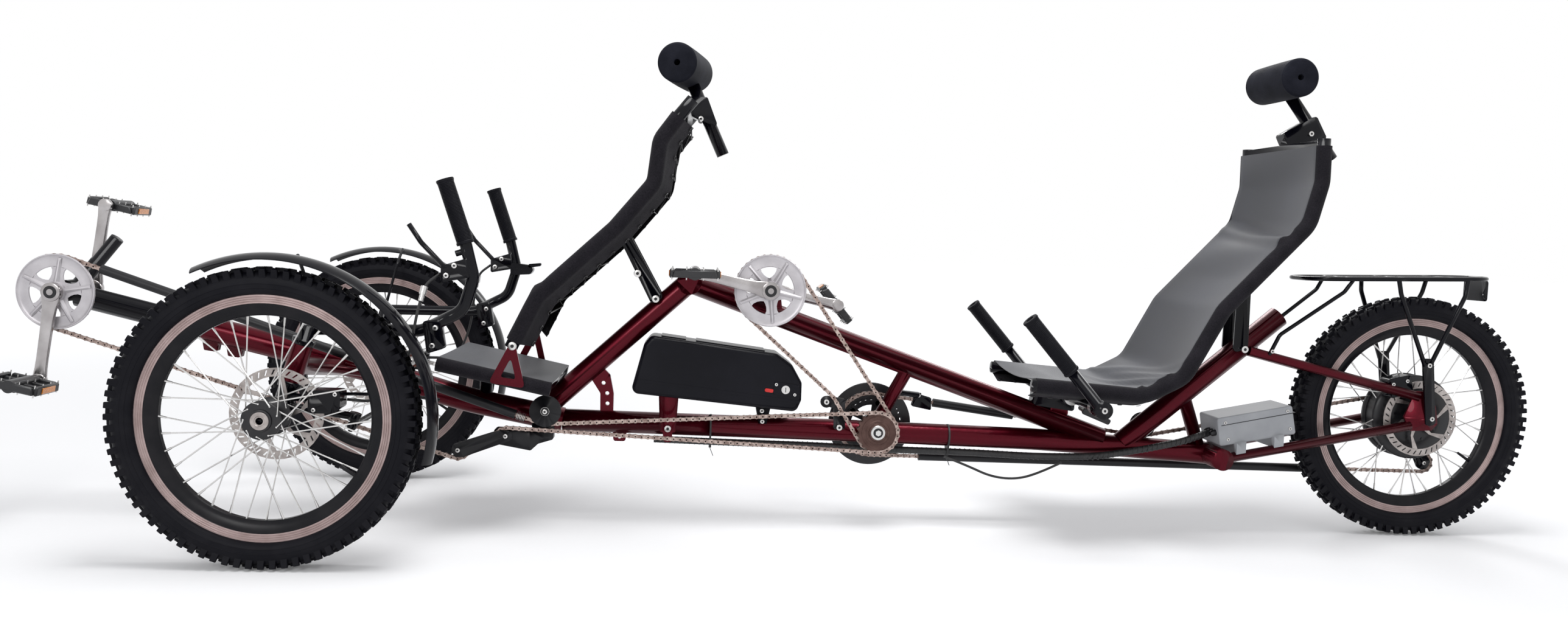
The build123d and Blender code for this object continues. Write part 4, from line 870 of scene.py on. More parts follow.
mix.surface({
    "Base Color": tone.clip(0.3, 0.75).tint((0.050, 0.022, 0.017), (0.110, 0.060, 0.050)),
    "Metallic": 0.55,
    "Roughness": 0.32 + tone * 0.2,
})
drive = piece(drive, "cross_shaft_freewheels", "jackshaft", freewheel_brown, bright_steel,
              black_anodise_and_shade)
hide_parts("jackshaft")

rings = turned(((0.0575, 0.0880), (0.0590, 0.0878), (0.0595, 0.0860), (0.0592, 0.0700),
                (0.0575, 0.0690), (0.0560, 0.0700), (0.0560, 0.0868)), 72)
cell = plate_cell(rings, (0.0560, 0.0700), (0.0, 18.0), 0.0560,
                  ((0.0670, 3.0), (0.0670, 12.0), (0.0600, 13.0), (0.0600, 2.0)))
repeat_round(rings, cell, 20)
web = plate_cell(rings, (0.0180, 0.0570), (-13.0, 13.0), 0.0560)
repeat_round(rings, web, 5)
bmesh.ops.translate(rings, verts=rings.verts, vec=(SHAFT[0], 0, SHAFT[1]))
sprocket(rings, (SHAFT[0], DRIVE_LINE, SHAFT[1]), 0.0680, 33, 0.0020, 0.0520)
sprocket(rings, (SHAFT[0], 0.0440, SHAFT[1]), 0.0560, 28, 0.0020, 0.0420)
rod(rings, (SHAFT[0], -0.0440, SHAFT[1]), (SHAFT[0], 0.0640, SHAFT[1]), 0.0080, sides=20)
rod(rings, (SHAFT[0], 0.0420, SHAFT[1]), (SHAFT[0], 0.0620, SHAFT[1]), 0.0190, sides=30)
for step in range(5):
    turn = radians(72 * step)
    place = Vector((SHAFT[0] + 0.0480 * cos(turn), 0, SHAFT[1] + 0.0480 * sin(turn)))
    rod(rings, place + Vector((0, 0.0430, 0)), place + Vector((0, 0.0590, 0)), 0.0060, sides=14)
rings = piece(rings, "drive_rings", "jackshaft", black_anodise_and_shade)

# ---- Chains -------------------------------------------------------------------------------
# Half inch roller chain: bushed inner links between outer plates, pinned together. It is
# oiled and a little rusty, which gives it a warm brown cast.


def loop_line(loop):
    """The line of a chain round its wheels, as straight runs and arcs with their lengths."""
    runs = []
    for (ax, az, a_reach, a_turn), (bx, bz, b_reach, b_turn) in zip(loop, loop[1:] + loop[:1]):
        a_reach, b_reach = a_turn * a_reach, b_turn * b_reach
        heading = atan2(bz - az, bx - ax) - asin((b_reach - a_reach) / hypot(bx - ax, bz - az))
        across = Vector((-sin(heading), cos(heading)))
        runs.append((Vector((ax, az)) - across * a_reach, Vector((bx, bz)) - across * b_reach))
    line = []
    for step, (start, end) in enumerate(runs):
        wheel_x, wheel_z, radius, turn = loop[(step + 1) % len(loop)]
        leave = runs[(step + 1) % len(runs)][0]
        hub = Vector((wheel_x, wheel_z))
        first = atan2(end.y - wheel_z, end.x - wheel_x)
        swing = atan2(leave.y - wheel_z, leave.x - wheel_x) - first
        swing = swing % (2 * pi) if turn > 0 else swing % (2 * pi) - 2 * pi
        line.append((start, end, hub, radius, first, swing))
    return line


def along(line, distance):
    """The point of a chain's line at a distance round it."""
    for start, end, hub, radius, first, swing in line:
        straight, arc = (end - start).length, abs(swing) * radius
        if distance <= straight:
            return start.lerp(end, distance / straight)
        if distance <= straight + arc:
            turn = first + swing * (distance - straight) / arc
            return hub + radius * Vector((cos(turn), sin(turn)))
        distance -= straight + arc
    return line[0][0]


chain_steel, mix = finish("worn_chain_steel")
tone = mix.noise(130.0, 5.0)
mix.surface({
    "Base Color": tone.clip(0.35, 0.65).tint((0.22, 0.155, 0.135), (0.52, 0.42, 0.38)),
    "Metallic": 0.75,
    "Roughness": 0.34 + tone * 0.2,
})
PITCH = 0.0127
links = []
for plate_y, pin_radius in ((0.0029, 0.0016), (0.0018, 0.0036)):
    link = bmesh.new()
    for side in (-1, 1):
        outline = [link.verts.new((x, side * plate_y, z)) for x, z in (
            (-0.0044, 0), (-0.0031, 0.0031), (0, 0.0044), (0.0037, 0.0034), (0.0090, 0.0034),
            (PITCH, 0.0044), (0.0158, 0.0031), (0.0171, 0), (0.0158, -0.0031),
            (PITCH, -0.0044), (0.0090, -0.0034), (0.0037, -0.0034), (0, -0.0044),
            (-0.0031, -0.0031))]
        face = link.faces.new(outline)
        grown = bmesh.ops.extrude_face_region(link, geom=[face])["geom"]
        bmesh.ops.translate(link, verts=verts_of(grown), vec=(0, -side * 0.0009, 0))
    for x in (0.0, PITCH):
        rod(link, (x, -0.0034, 0), (x, 0.0034, 0), pin_radius)
    bmesh.ops.recalc_face_normals(link, faces=link.faces)
    mesh = bpy.data.meshes.new("chain_link")
    link.to_mesh(mesh)
    link.free()
    links.append(mesh)
CAPTAIN_BB, STOKER_BB = CRANKSETS[0][1], CRANKSETS[1][1]
for name, chain_y, loop in (
    ("captain_chain", CAPTAIN_LINE, (
        (*CAPTAIN_BB, 0.069, 1), (FRONT + 0.258, 0.150, 0.018, 1),
        (FRONT + 0.350, 0.180, 0.016, -1), (*SHAFT, 0.041, 1),
        (FRONT + 0.426, 0.231, 0.026, -1))),
    ("stoker_chain", STOKER_LINE, (
        (*STOKER_BB, 0.069, 1), (FRONT + 0.987, 0.262, 0.017, -1), (*SHAFT, 0.041, 1))),
    ("drive_chain", DRIVE_LINE, (
        (*SHAFT, 0.066, 1), (FRONT + 2.325, 0.146, 0.020, 1), (FRONT + 2.292, 0.192, 0.020, -1),
        (REAR_AXLE[0], 0.257, 0.041, 1), (FRONT + 1.687, 0.215, 0.024, -1))),
):
    line = loop_line(loop)
    length = sum((end - start).length + abs(swing) * radius
                 for start, end, hub, radius, first, swing in line)
    count = 2 * round(length / PITCH / 2)
    chain = bmesh.new()
    for step in range(count):
        here, there = (along(line, length * place / count) for place in (step, step + 1))
        heading = atan2(there.y - here.y, there.x - here.x)
        stretch = (there - here).length / PITCH
        stamp(chain, links[step % 2], Matrix.Translation((here.x, chain_y, here.y))
              @ Matrix.Rotation(-heading, 4, "Y") @ Matrix.Diagonal((stretch, 1, 1, 1)))
    chain = piece(chain, name, "frame", chain_steel)
    if name == "captain_chain":
        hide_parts("chains")

# ---- Steering fittings --------------------------------------------------------------------
# What is fixed to the steered parts: a round pad adjuster and bright screws on each disc
# caliper, screws in the stem's clamps, and a ribbed rubber grip on each bar.
plated_brown, mix = finish("plated_brown_steel")
tone = mix.noise(90.0, 5.0)
mix.surface({
    "Base Color": tone.clip(0.3, 0.7).tint((0.075, 0.022, 0.016), (0.150, 0.055, 0.040)),
    "Metallic": 0.6,
    "Roughness": 0.28 + tone * 0.2,
})


def place_at(station, side, height):
    """A point of the row frame from its station, offset and height."""
    return Vector((FRONT + station, side, height))


def cap_screw(shape, middle, facing, radius=0.0050, height=0.0045):
    """A socket head screw: a knurled round head, a bevelled rim and a painted-shade hexagon
    recess.
    """
    head = bmesh.new()
    rod(head, (0, 0, 0), (0, 0, height), radius, sides=24)
    rims = [edge for edge in head.edges if abs(edge.verts[0].co.z - height) < 1e-6
            and abs(edge.verts[1].co.z - height) < 1e-6]
    bmesh.ops.bevel(head, geom=rims, offset=radius * 0.16, segments=2, profile=0.5,
                    affect="EDGES", material=-1)
    # The recess is not cut: a dark hexagon stands just proud of the head, painted shade.
    rod(head, (0, 0, height * 0.7), (0, 0, height + 0.00015), radius * 0.46, sides=6, index=1)
    add_part(shape, head, Matrix.Translation(middle) @ turn_to(Vector(facing).normalized()))


def ribbed_grip(length, ribs, collar, groove, rib):
    """A rubber grip along Z from its radii: a collar at either end, fine ribs between them."""
    outline = [(0.0, 0.0112), (0.0, 0.0152), (0.0010, collar), (0.0045, collar),
               (0.0055, 0.0150)]
    for step in range(ribs):
        start = 0.0065 + step * (length - 0.0130) / ribs
        outline += [(start, groove), (start + 0.0009, rib), (start + 0.0016, rib)]
    outline += [(length - 0.0055, 0.0150), (length - 0.0045, collar), (length - 0.0010, collar),
                (length, 0.0150), (length, 0.0080), (length - 0.0030, 0.0070),
                (length - 0.0030, 0.0)]
    grip = bmesh.new()
    corners = [grip.verts.new((radius, 0.0, up)) for up, radius in outline]
    edges = [grip.edges.new(pair) for pair in zip(corners, corners[1:])]
    bmesh.ops.spin(grip, geom=corners + edges, cent=(0, 0, 0), axis=(0, 0, 1), angle=2 * pi,
                   steps=40, use_merge=True)
    return grip


for name, hand in (("left", -1), ("right", 1)):
    inner, bar_y = hand * 0.310, hand * 0.262
    fittings = bmesh.new()
    for near, far, radius, far_radius, sides, index in (
            (0.006, 0.016, 0.0165, 0.0150, 40, 2), (0.016, 0.0175, 0.0105, 0.0100, 32, 0)):
        rod(fittings, place_at(0.084, inner - hand * near, 0.283),
            place_at(0.084, inner - hand * far, 0.283), radius, far_radius, sides, index)
    cap_screw(fittings, place_at(0.084, inner - hand * 0.0175, 0.283), (0, -hand, 0), 0.0052)
    for station, height in ((0.064, 0.296), (0.104, 0.296), (0.068, 0.268)):
        cap_screw(fittings, place_at(station, inner, height), (0, -hand, 0), 0.0038, 0.0036)
        cap_screw(fittings, place_at(station, hand * 0.350, height), (0, hand, 0), 0.0038,
                  0.0036)
    for station, height in ((0.255, 0.409), (0.250, 0.377), (0.286, 0.521), (0.272, 0.503)):
        half_clamp = 0.0115 if height > 0.45 else 0.0130
        for facing in (hand, -hand):
            cap_screw(fittings, place_at(station, bar_y + facing * half_clamp, height),
                      (0, facing, 0), 0.0050, 0.0040)
    fittings = piece(fittings, f"{name}_steering_bolts", f"{name}_knuckle", bright_steel,
                     black_anodise_and_shade, plated_brown)

    grip_line = (place_at(0.303, bar_y, 0.560), place_at(0.264, bar_y, 0.674))
    along_grip = grip_line[1] - grip_line[0]
    grip = ribbed_grip(along_grip.length, 44, 0.0158, 0.0143, 0.0149)
    bmesh.ops.transform(grip, verts=grip.verts, matrix=Matrix.Translation(grip_line[0])
                        @ turn_to(along_grip.normalized()))
    grip = piece(grip, f"{name}_ribbed_grip", f"{name}_knuckle", tyre_rubber, crease=25.0)
    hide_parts(f"{name}_grip")

# ---- Seat frames --------------------------------------------------------------------------
# Bent steel tube in the black enamel, with struts bolted to the frame. The captain's back
# stands on two crimson triangular plates, each cut out in the middle and pinned by one bolt.
PLATE = ((0.332, 0.299), (0.400, 0.290), (0.377, 0.388))
for rider in ("captain", "stoker"):
    seat = solid_copy(f"{rider}_seat_frame")
    if rider == "captain":
        middles = {face: face.calc_center_median() for face in seat.faces}
        spare = [face for face, spot in middles.items() if abs(spot.y) > 0.1671
                 and 0.330 < spot.x - FRONT < 0.405 and spot.z < 0.402]
        bmesh.ops.delete(seat, geom=spare, context="FACES")
        bmesh.ops.holes_fill(seat, edges=[e for e in seat.edges if e.is_boundary], sides=0)
    seat = piece(seat, f"{rider}_seat_tubes", "frame", black_enamel, crease=30.0)
    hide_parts(f"{rider}_seat_frame")


def rounded(corners, radius, steps=4):
    """The outline through these corners with each one rounded off, as points in a plane."""
    points = []
    for before, corner, after in zip(corners[-1:] + corners[:-1], corners,
                                     corners[1:] + corners[:1]):
        inward, onward = (before - corner).normalized(), (after - corner).normalized()
        half = inward.angle(onward) / 2
        first = corner + inward * radius / (sin(half) / cos(half))
        last = corner + onward * radius / (sin(half) / cos(half))
        for step in range(steps + 1):
            share = step / steps
            points.append(first.lerp(corner, share).lerp(corner.lerp(last, share), share))
    return points


def blade(shape, corners, side, thickness, radius, index=0):
    """A flat part cut to an outline of stations and heights, with its corners rounded."""
    line = rounded([Vector((FRONT + station, height)) for station, height in corners], radius)
    part = bmesh.new()
    foot = [part.verts.new((point.x, side - thickness / 2, point.y)) for point in line]
    cap = [part.verts.new((point.x, side + thickness / 2, point.y)) for point in line]
    rims = [*part.faces.new(foot).edges, *part.faces.new(cap[::-1]).edges]
    for step in range(len(line)):
        after = (step + 1) % len(line)
        part.faces.new((foot[after], foot[step], cap[step], cap[after]))
    bmesh.ops.bevel(part, geom=rims, offset=min(0.0006, thickness * 0.2), segments=1,
                    profile=0.5, affect="EDGES", material=-1)
    for face in part.faces:
        face.material_index = index
    add_part(shape, part)


hardware = bmesh.new()
for hand in (-1, 1):
    corners = [Vector((FRONT + station, height)) for station, height in PLATE]
    middle = sum(corners, Vector((0, 0))) / 3
    window = [middle + (corner - middle) * 0.42 - Vector((0, 0.004)) for corner in corners]
    outer, inner = rounded(corners, 0.0075), rounded(window, 0.0040)
    plate = bmesh.new()
    rims = [[plate.verts.new((point.x, hand * 0.1672, point.y)) for point in line]
            for line in (outer, inner)]
    for step in range(len(outer)):
        after = (step + 1) % len(outer)
        plate.faces.new((rims[0][step], rims[0][after], rims[1][after], rims[1][step]))
    grown = bmesh.ops.extrude_face_region(plate, geom=list(plate.faces))["geom"]
    bmesh.ops.translate(plate, verts=verts_of(grown), vec=(0, hand * 0.0042, 0))
    plate = piece(plate, f"seat_plate_{'left' if hand < 0 else 'right'}", "frame", crimson)
    cap_screw(hardware, place_at(0.3755, hand * 0.1714, 0.3700), (0, hand, 0), 0.0080, 0.0050)
    for station, height, side in ((0.6365, 0.459, 0.030), (0.599, 0.509, 0.030),
                                  (1.864, 0.392, 0.032), (1.858, 0.560, 0.030)):
        cap_screw(hardware, place_at(station, hand * side, height), (0, hand, 0), 0.0075, 0.0050)
    cap_screw(hardware, place_at(0.716, hand * 0.0205, 0.822), (0, hand, 0), 0.0055, 0.0050)
    cap_screw(hardware, place_at(1.985, hand * 0.0172, 0.846), (0, hand, 0), 0.0055, 0.0050)
hardware = piece(hardware, "seat_bolts", "frame", bright_steel, black_anodise_and_shade)

# ---- Slings -------------------------------------------------------------------------------
# Charcoal polyester cloth, woven tight. A sling lies over the two side tubes, goes round
# them in a sleeve of fleece and is drawn tight behind by an elastic lace through bright
# eyelets. It sags between the cross bars and creases where the side tubes bend.
sling_cloth, mix = finish("sling_cloth")
spot = mix.node("TexCoord", out="Object")
weft, warp = (
    mix.node("TexWave", {"bands_direction": way}, {"Vector": spot, "Scale": scale}, "Fac")
    for way, scale in (("Y", 420.0), ("DIAGONAL", 330.0)))
fade = mix.noise(7.0, 7.0)
fuzz = mix.noise(1400.0, 2.0)
mix.surface({
    "Base Color": (fade * 0.75 + fuzz * 0.25).clip(0.35, 0.65).tint(
        (0.0125, 0.0135, 0.0200), (0.025, 0.0275, 0.0385)),
    "Roughness": 0.50 + fade * 0.14,
    "Specular IOR Level": 0.46,
    "Sheen Weight": 0.18,
    "Sheen Roughness": 0.5,
    "Normal": mix.bump(0.35, 0.0003, weft * 0.5 + warp * 0.5),
})
sleeve_fleece, mix = finish("sleeve_fleece")
nap = mix.noise(520.0, 5.0)
wear = mix.noise(24.0, 6.0)
mix.surface({
    "Base Color": (nap * 0.6 + wear * 0.4).clip(0.38, 0.64).tint(
        (0.0040, 0.0036, 0.0058), (0.0150, 0.0130, 0.0175)),
    "Roughness": 0.80,
    "Specular IOR Level": 0.14,
    "Sheen Weight": 0.05,
    "Normal": mix.bump(0.8, 0.0008, nap),
})


def bent_line(corners, bend, spacing):
    """Evenly spaced points, with their forward normals, along runs with round bends."""
    corners = [Vector((FRONT + station, height)) for station, height in corners]
    trail = [corners[0]]
    for before, corner, after in zip(corners, corners[1:], corners[2:]):
        inward, onward = (before - corner).normalized(), (after - corner).normalized()
        half = inward.angle(onward) / 2
        reach = bend * cos(half) / sin(half)
        centre = corner + (inward + onward).normalized() * bend / sin(half)
        first, last = corner + inward * reach - centre, corner + onward * reach - centre
        for step in range(13):
            trail.append(centre + first.slerp(last, step / 12).normalized() * bend)
    trail.append(corners[-1])
    lengths = [0.0]
    for start, end in zip(trail, trail[1:]):
        lengths.append(lengths[-1] + (end - start).length)
    count = round(lengths[-1] / spacing)
    line, place = [], 0
    for step in range(count + 1):
        target = lengths[-1] * step / count
        while place < len(trail) - 2 and lengths[place + 1] < target:
            place += 1
        run = trail[place + 1] - trail[place]
        point = trail[place] + run * (target - lengths[place]) / max(run.length, 1e-9)
        heading = run.normalized()
        line.append((point, Vector((-heading.y, heading.x)), target))
    return line


def crease_height(creases, travel, across):
    """How far cloth stands off for its creases at a place: each one is a soft ridge with a
    dip beside it, runs on a slant and dies away towards its end."""
    height = 0.0
    for start, slant, width, depth, reach, edge in creases:
        gap = (travel - start - slant * across) / width
        along_it = max(0.0, 1.0 - abs(across - edge) / reach)
        height += depth * along_it ** 0.7 * (1.0 - gap * gap * 0.9) * 2.718 ** (-gap * gap)
    return height


def sling(name, corners, bend, tube_y, tube_radius, sag, flap, lean, bars, creases,
          trim=(0.0, 0.0)):
    """A sling's cloth: one section across the tubes, with its wraps and flaps, repeated along
    the seat. Gives the sheet, the edge of each flap with the cloth beside it, and its size."""
    wrap = tube_radius + 0.0030
    line = bent_line(corners, bend, 0.007)
    line = [spot for spot in line if trim[0] <= spot[2] <= line[-1][2] - trim[1]]
    section = [("flap", -tube_y + flap * (1 - step / 5) * cos(lean),
                -wrap - flap * (1 - step / 5) * sin(lean)) for step in range(6)]
    section += [("wrap", -tube_y - wrap * sin(radians(turn)), -wrap * cos(radians(turn)))
                for turn in range(18, 180, 18)]
    section += [("face", -tube_y + 2 * tube_y * step / 28, wrap) for step in range(29)]
    section += [(kind, -side, stand) for kind, side, stand in reversed(section[:15])]
    shape = bmesh.new()
    rows, edges = [], ([], [])
    for place, (point, normal, travel) in enumerate(line):
        nearby = [spot[1] for spot in line[max(0, place - 9):place + 10]]
        backed = sum(nearby, Vector((0, 0))).normalized()
        rest = min((point - Vector((FRONT + station, height))).length
                   for station, height in bars)
        slack = min(1.0, rest / 0.075)
        slack = 0.0012 + (sag - 0.0012) * slack * slack * (3 - 2 * slack)
        row = []
        for kind, side, stand in section:
            outward = normal
            if kind == "face":
                share = side / tube_y
                stand = stand - slack * (1 - share * share)
                stand += crease_height(creases, travel - line[0][2], side)
            elif kind == "flap":
                outward = normal.lerp(backed, min(1.0, 2 * (tube_y - abs(side)) / flap))
            spot_3d = Vector((point.x + outward.x * stand, side, point.y + outward.y * stand))
            row.append(shape.verts.new(spot_3d))
        rows.append(row)
        facing = Vector((normal.x, 0, normal.y))
        edges[0].append((row[0].co.copy(), row[2].co.copy(), facing))
        edges[1].append((row[-1].co.copy(), row[-3].co.copy(), facing))
    for first, second in zip(rows, rows[1:]):
        for step in range(len(section) - 1):
            face = shape.faces.new((first[step], first[step + 1],
                                    second[step + 1], second[step]))
            face.material_index = int({section[step][0], section[step + 1][0]} != {"face"})
    area = sum(face.calc_area() for face in shape.faces)
    length = line[-1][2] - line[0][2]
    bmesh.ops.recalc_face_normals(shape, faces=shape.faces)
    bmesh.ops.solidify(shape, geom=shape.faces, thickness=0.0014)
    made = piece(shape, name, "frame", sling_cloth, sleeve_fleece, crease=60.0)
    return made, edges, (area / length, length)


def lace(name, edges, stride, clear):
    """An elastic lace run to and fro between an eyelet row in each flap, but not where a
    strut comes through: clear gives such places and how far the lace keeps away."""
    cord, eyelets = bpy.data.curves.new(name, "CURVE"), bmesh.new()
    cord.dimensions = "3D"
    cord.bevel_depth = 0.0016
    cord.bevel_resolution = 2
    ring = bmesh.new()
    bmesh.ops.create_circle(ring, cap_ends=True, segments=16, radius=0.0030)
    # The disc in the eyelet's middle takes the dark finish: painted shade for its hole.
    for face in ring.faces:
        face.material_index = 1
    for radius, up in ((0.0030, 0.0006), (0.0036, 0.0010), (0.0044, 0.0010), (0.0050, 0.0)):
        outer = [edge for edge in ring.edges if edge.is_boundary]
        grown = bmesh.ops.extrude_edge_only(ring, edges=outer)["geom"]
        for vert in verts_of(grown):
            vert.co.xy = vert.co.xy.normalized() * radius
            vert.co.z = up
    ring_mesh = bpy.data.meshes.new("eyelet")
    ring.to_mesh(ring_mesh)
    ring.free()
    runs = [[]]
    for step in range(1, len(edges[0]) - 1, stride):
        middle = edges[0][step][0]
        blocked = any(hypot(middle.x - FRONT - station, middle.z - height) < reach
                      for station, height, reach in clear)
        if blocked and runs[-1]:
            runs.append([])
        for row in edges:
            edge, within, front = row[step]
            inward = (within - edge).normalized()
            facing = inward.cross(row[step + 1][0] - edge).normalized()
            if facing.dot(front) > 0:
                facing = -facing
            centre = edge + inward * 0.010
            for side in (facing, -facing):
                stamp(eyelets, ring_mesh, Matrix.Translation(centre + side * 0.0016)
                      @ turn_to(side))
            if not blocked:
                runs[-1].append(centre + facing * 0.0032)
    bpy.data.meshes.remove(ring_mesh)
    for run in runs:
        if len(run) > 2:
            spline = cord.splines.new("POLY")
            spline.points.add(len(run) - 1)
            for point, place in zip(spline.points, run):
                point.co = (*place, 1.0)
    cord.materials.append(cable_jacket)
    made = bpy.data.objects.new(name, cord)
    bpy.context.scene.collection.objects.link(made)
    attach(made, "frame")
    rings = piece(eyelets, f"{name}_eyelets", "frame", bright_steel, black_anodise_and_shade)
    return made, rings


BACK_SIDE = ((0.370, 0.365), (0.417, 0.463), (0.560, 0.598), (0.632, 0.686), (0.641, 0.767),
             (0.674, 0.813))
BASE_SIDE = ((0.232, 0.330), (0.446, 0.286))
SLING_SIDE = ((1.377, 0.320), (1.605, 0.304), (1.683, 0.344), (1.755, 0.479), (1.918, 0.653),
              (1.939, 0.737), (1.938, 0.823))
captain_back, edges, size = sling(
    "captain_back_sling", BACK_SIDE, 0.038, 0.155, 0.0125, 0.016, 0.052, radians(20),
    ((0.386, 0.398), (0.560, 0.592), (0.690, 0.832)),
    ((0.118, 0.08, 0.013, 0.004, 0.20, -0.14), (0.330, -0.05, 0.014, 0.005, 0.20, 0.10)),
    (0.012, 0.0))
laces = lace("captain_back_lace", edges, 5, ((0.592, 0.562, 0.055), (0.420, 0.380, 0.030)))
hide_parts("captain_sling")
captain_seat, edges, size = sling(
    "captain_seat_sling", BASE_SIDE, 0.0, 0.150, 0.011, 0.010, 0.040, radians(8),
    ((0.238, 0.3288), (0.300, 0.316), (0.436, 0.288)), ())
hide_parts("captain_seat_base")
stoker_back, edges, size = sling(
    "stoker_sling_cloth", SLING_SIDE, 0.060, 0.160, 0.0125, 0.014, 0.042, radians(14),
    ((1.440, 0.315), (1.640, 0.322), (1.858, 0.589), (1.938, 0.812)),
    ((0.185, -0.20, 0.012, 0.0045, 0.26, -0.16), (0.215, -0.30, 0.013, 0.0050, 0.30, -0.10),
     (0.250, -0.20, 0.013, 0.0050, 0.30, -0.16), (0.280, -0.34, 0.016, 0.0040, 0.30, 0.10),
     (0.655, 0.10, 0.016, 0.0070, 0.34, -0.12), (0.684, 0.16, 0.012, -0.0045, 0.30, 0.0)),
    (0.006, 0.012))
laces = lace("stoker_lace", edges, 5, ((1.850, 0.565, 0.062), (1.500, 0.300, 0.130),
                                      (1.650, 0.300, 0.060)))
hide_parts("stoker_sling")

# ---- Headrests ----------------------------------------------------------------------------
# A roll of closed-cell foam on each headrest post, skinned smooth, with softened ends and a
# hole through its middle.
foam_skin, mix = finish("foam_skin")
spot = mix.node("TexCoord", out="Object")
cells = mix.node("TexVoronoi", {}, {"Vector": spot, "Scale": 620.0}, "Distance")
fade = mix.noise(30.0, 6.0)
mix.surface({
    "Base Color": fade.clip(0.35, 0.65).tint((0.0042, 0.0048, 0.0090), (0.0110, 0.0118, 0.0185)),
    "Roughness": 0.74,
    "Specular IOR Level": 0.12,
    "Normal": mix.bump(0.5, 0.0005, cells),
})
rolls = bmesh.new()
for station, height, yaw in ((0.683, 0.924, 12.0), (1.923, 0.952, 0.0)):
    roll = bmesh.new()
    half, radius = 0.0825, 0.0398
    outline = [(-half + 0.0010, 0.0062), (-half + 0.0002, 0.0085), (-half + 0.0002, 0.0340),
               (-half + 0.0012, 0.0372), (-half + 0.0040, 0.0390)]
    outline += [(-0.0785 + 0.157 * step / 14, radius - 0.0007 * (step / 7 - 1) ** 2)
                for step in range(15)]
    outline += [(-along_it, out) for along_it, out in reversed(outline[:5])]
    corners = [roll.verts.new((out, along_it, 0.0)) for along_it, out in outline]
    ring = [roll.edges.new(pair) for pair in zip(corners, corners[1:] + corners[:1])]
    bmesh.ops.spin(roll, geom=corners + ring, cent=(0, 0, 0), axis=(0, 1, 0), angle=2 * pi,
                   steps=64, use_merge=True)
    add_part(rolls, roll, Matrix.Translation(place_at(station, 0, height))
             @ Matrix.Rotation(radians(-yaw), 4, "Z"))
rolls = piece(rolls, "headrest_rolls", "frame", foam_skin, crease=50.0)
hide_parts("headrests")

# ---- Stoker's bars ------------------------------------------------------------------------
# Ribbed rubber grips with a shallow recess in the end, and the bright clamp under the seat
# that lets the bars tip, worked by a black paddle.
grips = bmesh.new()
for hand in (-1, 1):
    start, end = place_at(1.433, hand * 0.230, 0.3555), place_at(1.346, hand * 0.230, 0.4544)
    grip = ribbed_grip((end - start).length, 46, 0.0159, 0.0144, 0.0150)
    add_part(grips, grip, Matrix.Translation(start) @ turn_to((end - start).normalized()))
grips = piece(grips, "stoker_ribbed_grips", "frame", tyre_rubber, crease=25.0)
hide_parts("stoker_grips")
clamp = bmesh.new()
for hand in (-1, 1):
    for near, far, radius in ((0.034, 0.054, 0.0175), (0.190, 0.205, 0.0150)):
        rod(clamp, place_at(1.495, hand * near, 0.285), place_at(1.495, hand * far, 0.285),
            radius, sides=40)
    cap_screw(clamp, place_at(1.508, hand * 0.044, 0.298), (0.6, 0, 0.8), 0.0050, 0.0050)
    cap_screw(clamp, place_at(1.495, hand * 0.2450, 0.285), (0, hand, 0), 0.0060, 0.0030)
rod(clamp, place_at(1.512, -0.060, 0.264), place_at(1.512, -0.096, 0.264), 0.0060, sides=24)
rod(clamp, place_at(1.512, -0.090, 0.264), place_at(1.512, -0.098, 0.264), 0.0095, sides=32)
blade(clamp, ((1.506, 0.270), (1.500, 0.258), (1.556, 0.236), (1.562, 0.246)), -0.101, 0.005,
      0.004, index=1)
clamp = piece(clamp, "stoker_bar_clamp", "frame", bright_steel, black_anodise_and_shade)

# ---- Battery ------------------------------------------------------------------------------
# A moulded pack in two shells with a seam low on its side. It stands on a rail on the lower
# tube, with a key lock on a small plate, a red charge button, and a clamp under its rear end.
moulded_black, mix = finish("moulded_black")
grain = mix.noise(1100.0, 2.0)
haze = mix.noise(12.0, 7.0)
mix.surface({
    "Base Color": haze.clip(0.4, 0.7).tint((0.0012, 0.0012, 0.0038), (0.0036, 0.0036, 0.0070)),
    "Roughness": 0.24 + haze * 0.12,
    "Specular IOR Level": 0.16,
    "Normal": mix.bump(0.18, 0.0003, grain),
})
signal_red, mix = finish("signal_red")
haze = mix.noise(200.0, 3.0)
mix.surface({"Base Color": haze.tint((0.50, 0.012, 0.010), (0.62, 0.02, 0.015)),
             "Roughness": 0.35})
pack = piece(solid_copy("battery"), "battery_shell", "frame", moulded_black, crease=30.0)
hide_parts("battery")
fittings = bmesh.new()
for hand in (-1, 1):
    face = hand * 0.0450
    blade(fittings, ((0.604, 0.292), (0.606, 0.298), (0.934, 0.262), (0.933, 0.256)),
          face, 0.0012, 0.0020, index=2)
    blade(fittings, ((0.880, 0.300), (0.930, 0.294), (0.928, 0.268), (0.878, 0.274)),
          face, 0.0036, 0.0050, index=2)
    for station, side, height, radius, head in (
        (0.8845, face + hand * 0.0014, 0.294, 0.0032, 0.0018),
        (0.9225, face + hand * 0.0014, 0.274, 0.0032, 0.0018),
        (0.8585, hand * 0.0200, 0.236, 0.0045, 0.0040),
        (0.8600, hand * 0.0200, 0.214, 0.0045, 0.0040),
        (0.668, hand * 0.0265, 0.196, 0.0070, 0.0050),
    ):
        cap_screw(fittings, place_at(station, side, height), (0, hand, 0), radius, head)
rod(fittings, place_at(0.9035, -0.0460, 0.284), place_at(0.9035, -0.0492, 0.284), 0.0085,
    sides=40)
rod(fittings, place_at(0.9035, -0.0490, 0.284), place_at(0.9035, -0.0500, 0.284),
    0.0060, 0.0058, sides=32)
# A dark sheet on the lock's face is painted shade for its key slot.
blade(fittings, ((0.9027, 0.2888), (0.9043, 0.2888), (0.9043, 0.2792), (0.9027, 0.2792)),
      -0.0500, 0.0006, 0.0005, index=1)
blade(fittings, ((0.862, 0.286), (0.880, 0.284), (0.879, 0.277), (0.861, 0.279)),
      -0.0452, 0.0030, 0.0033, index=3)
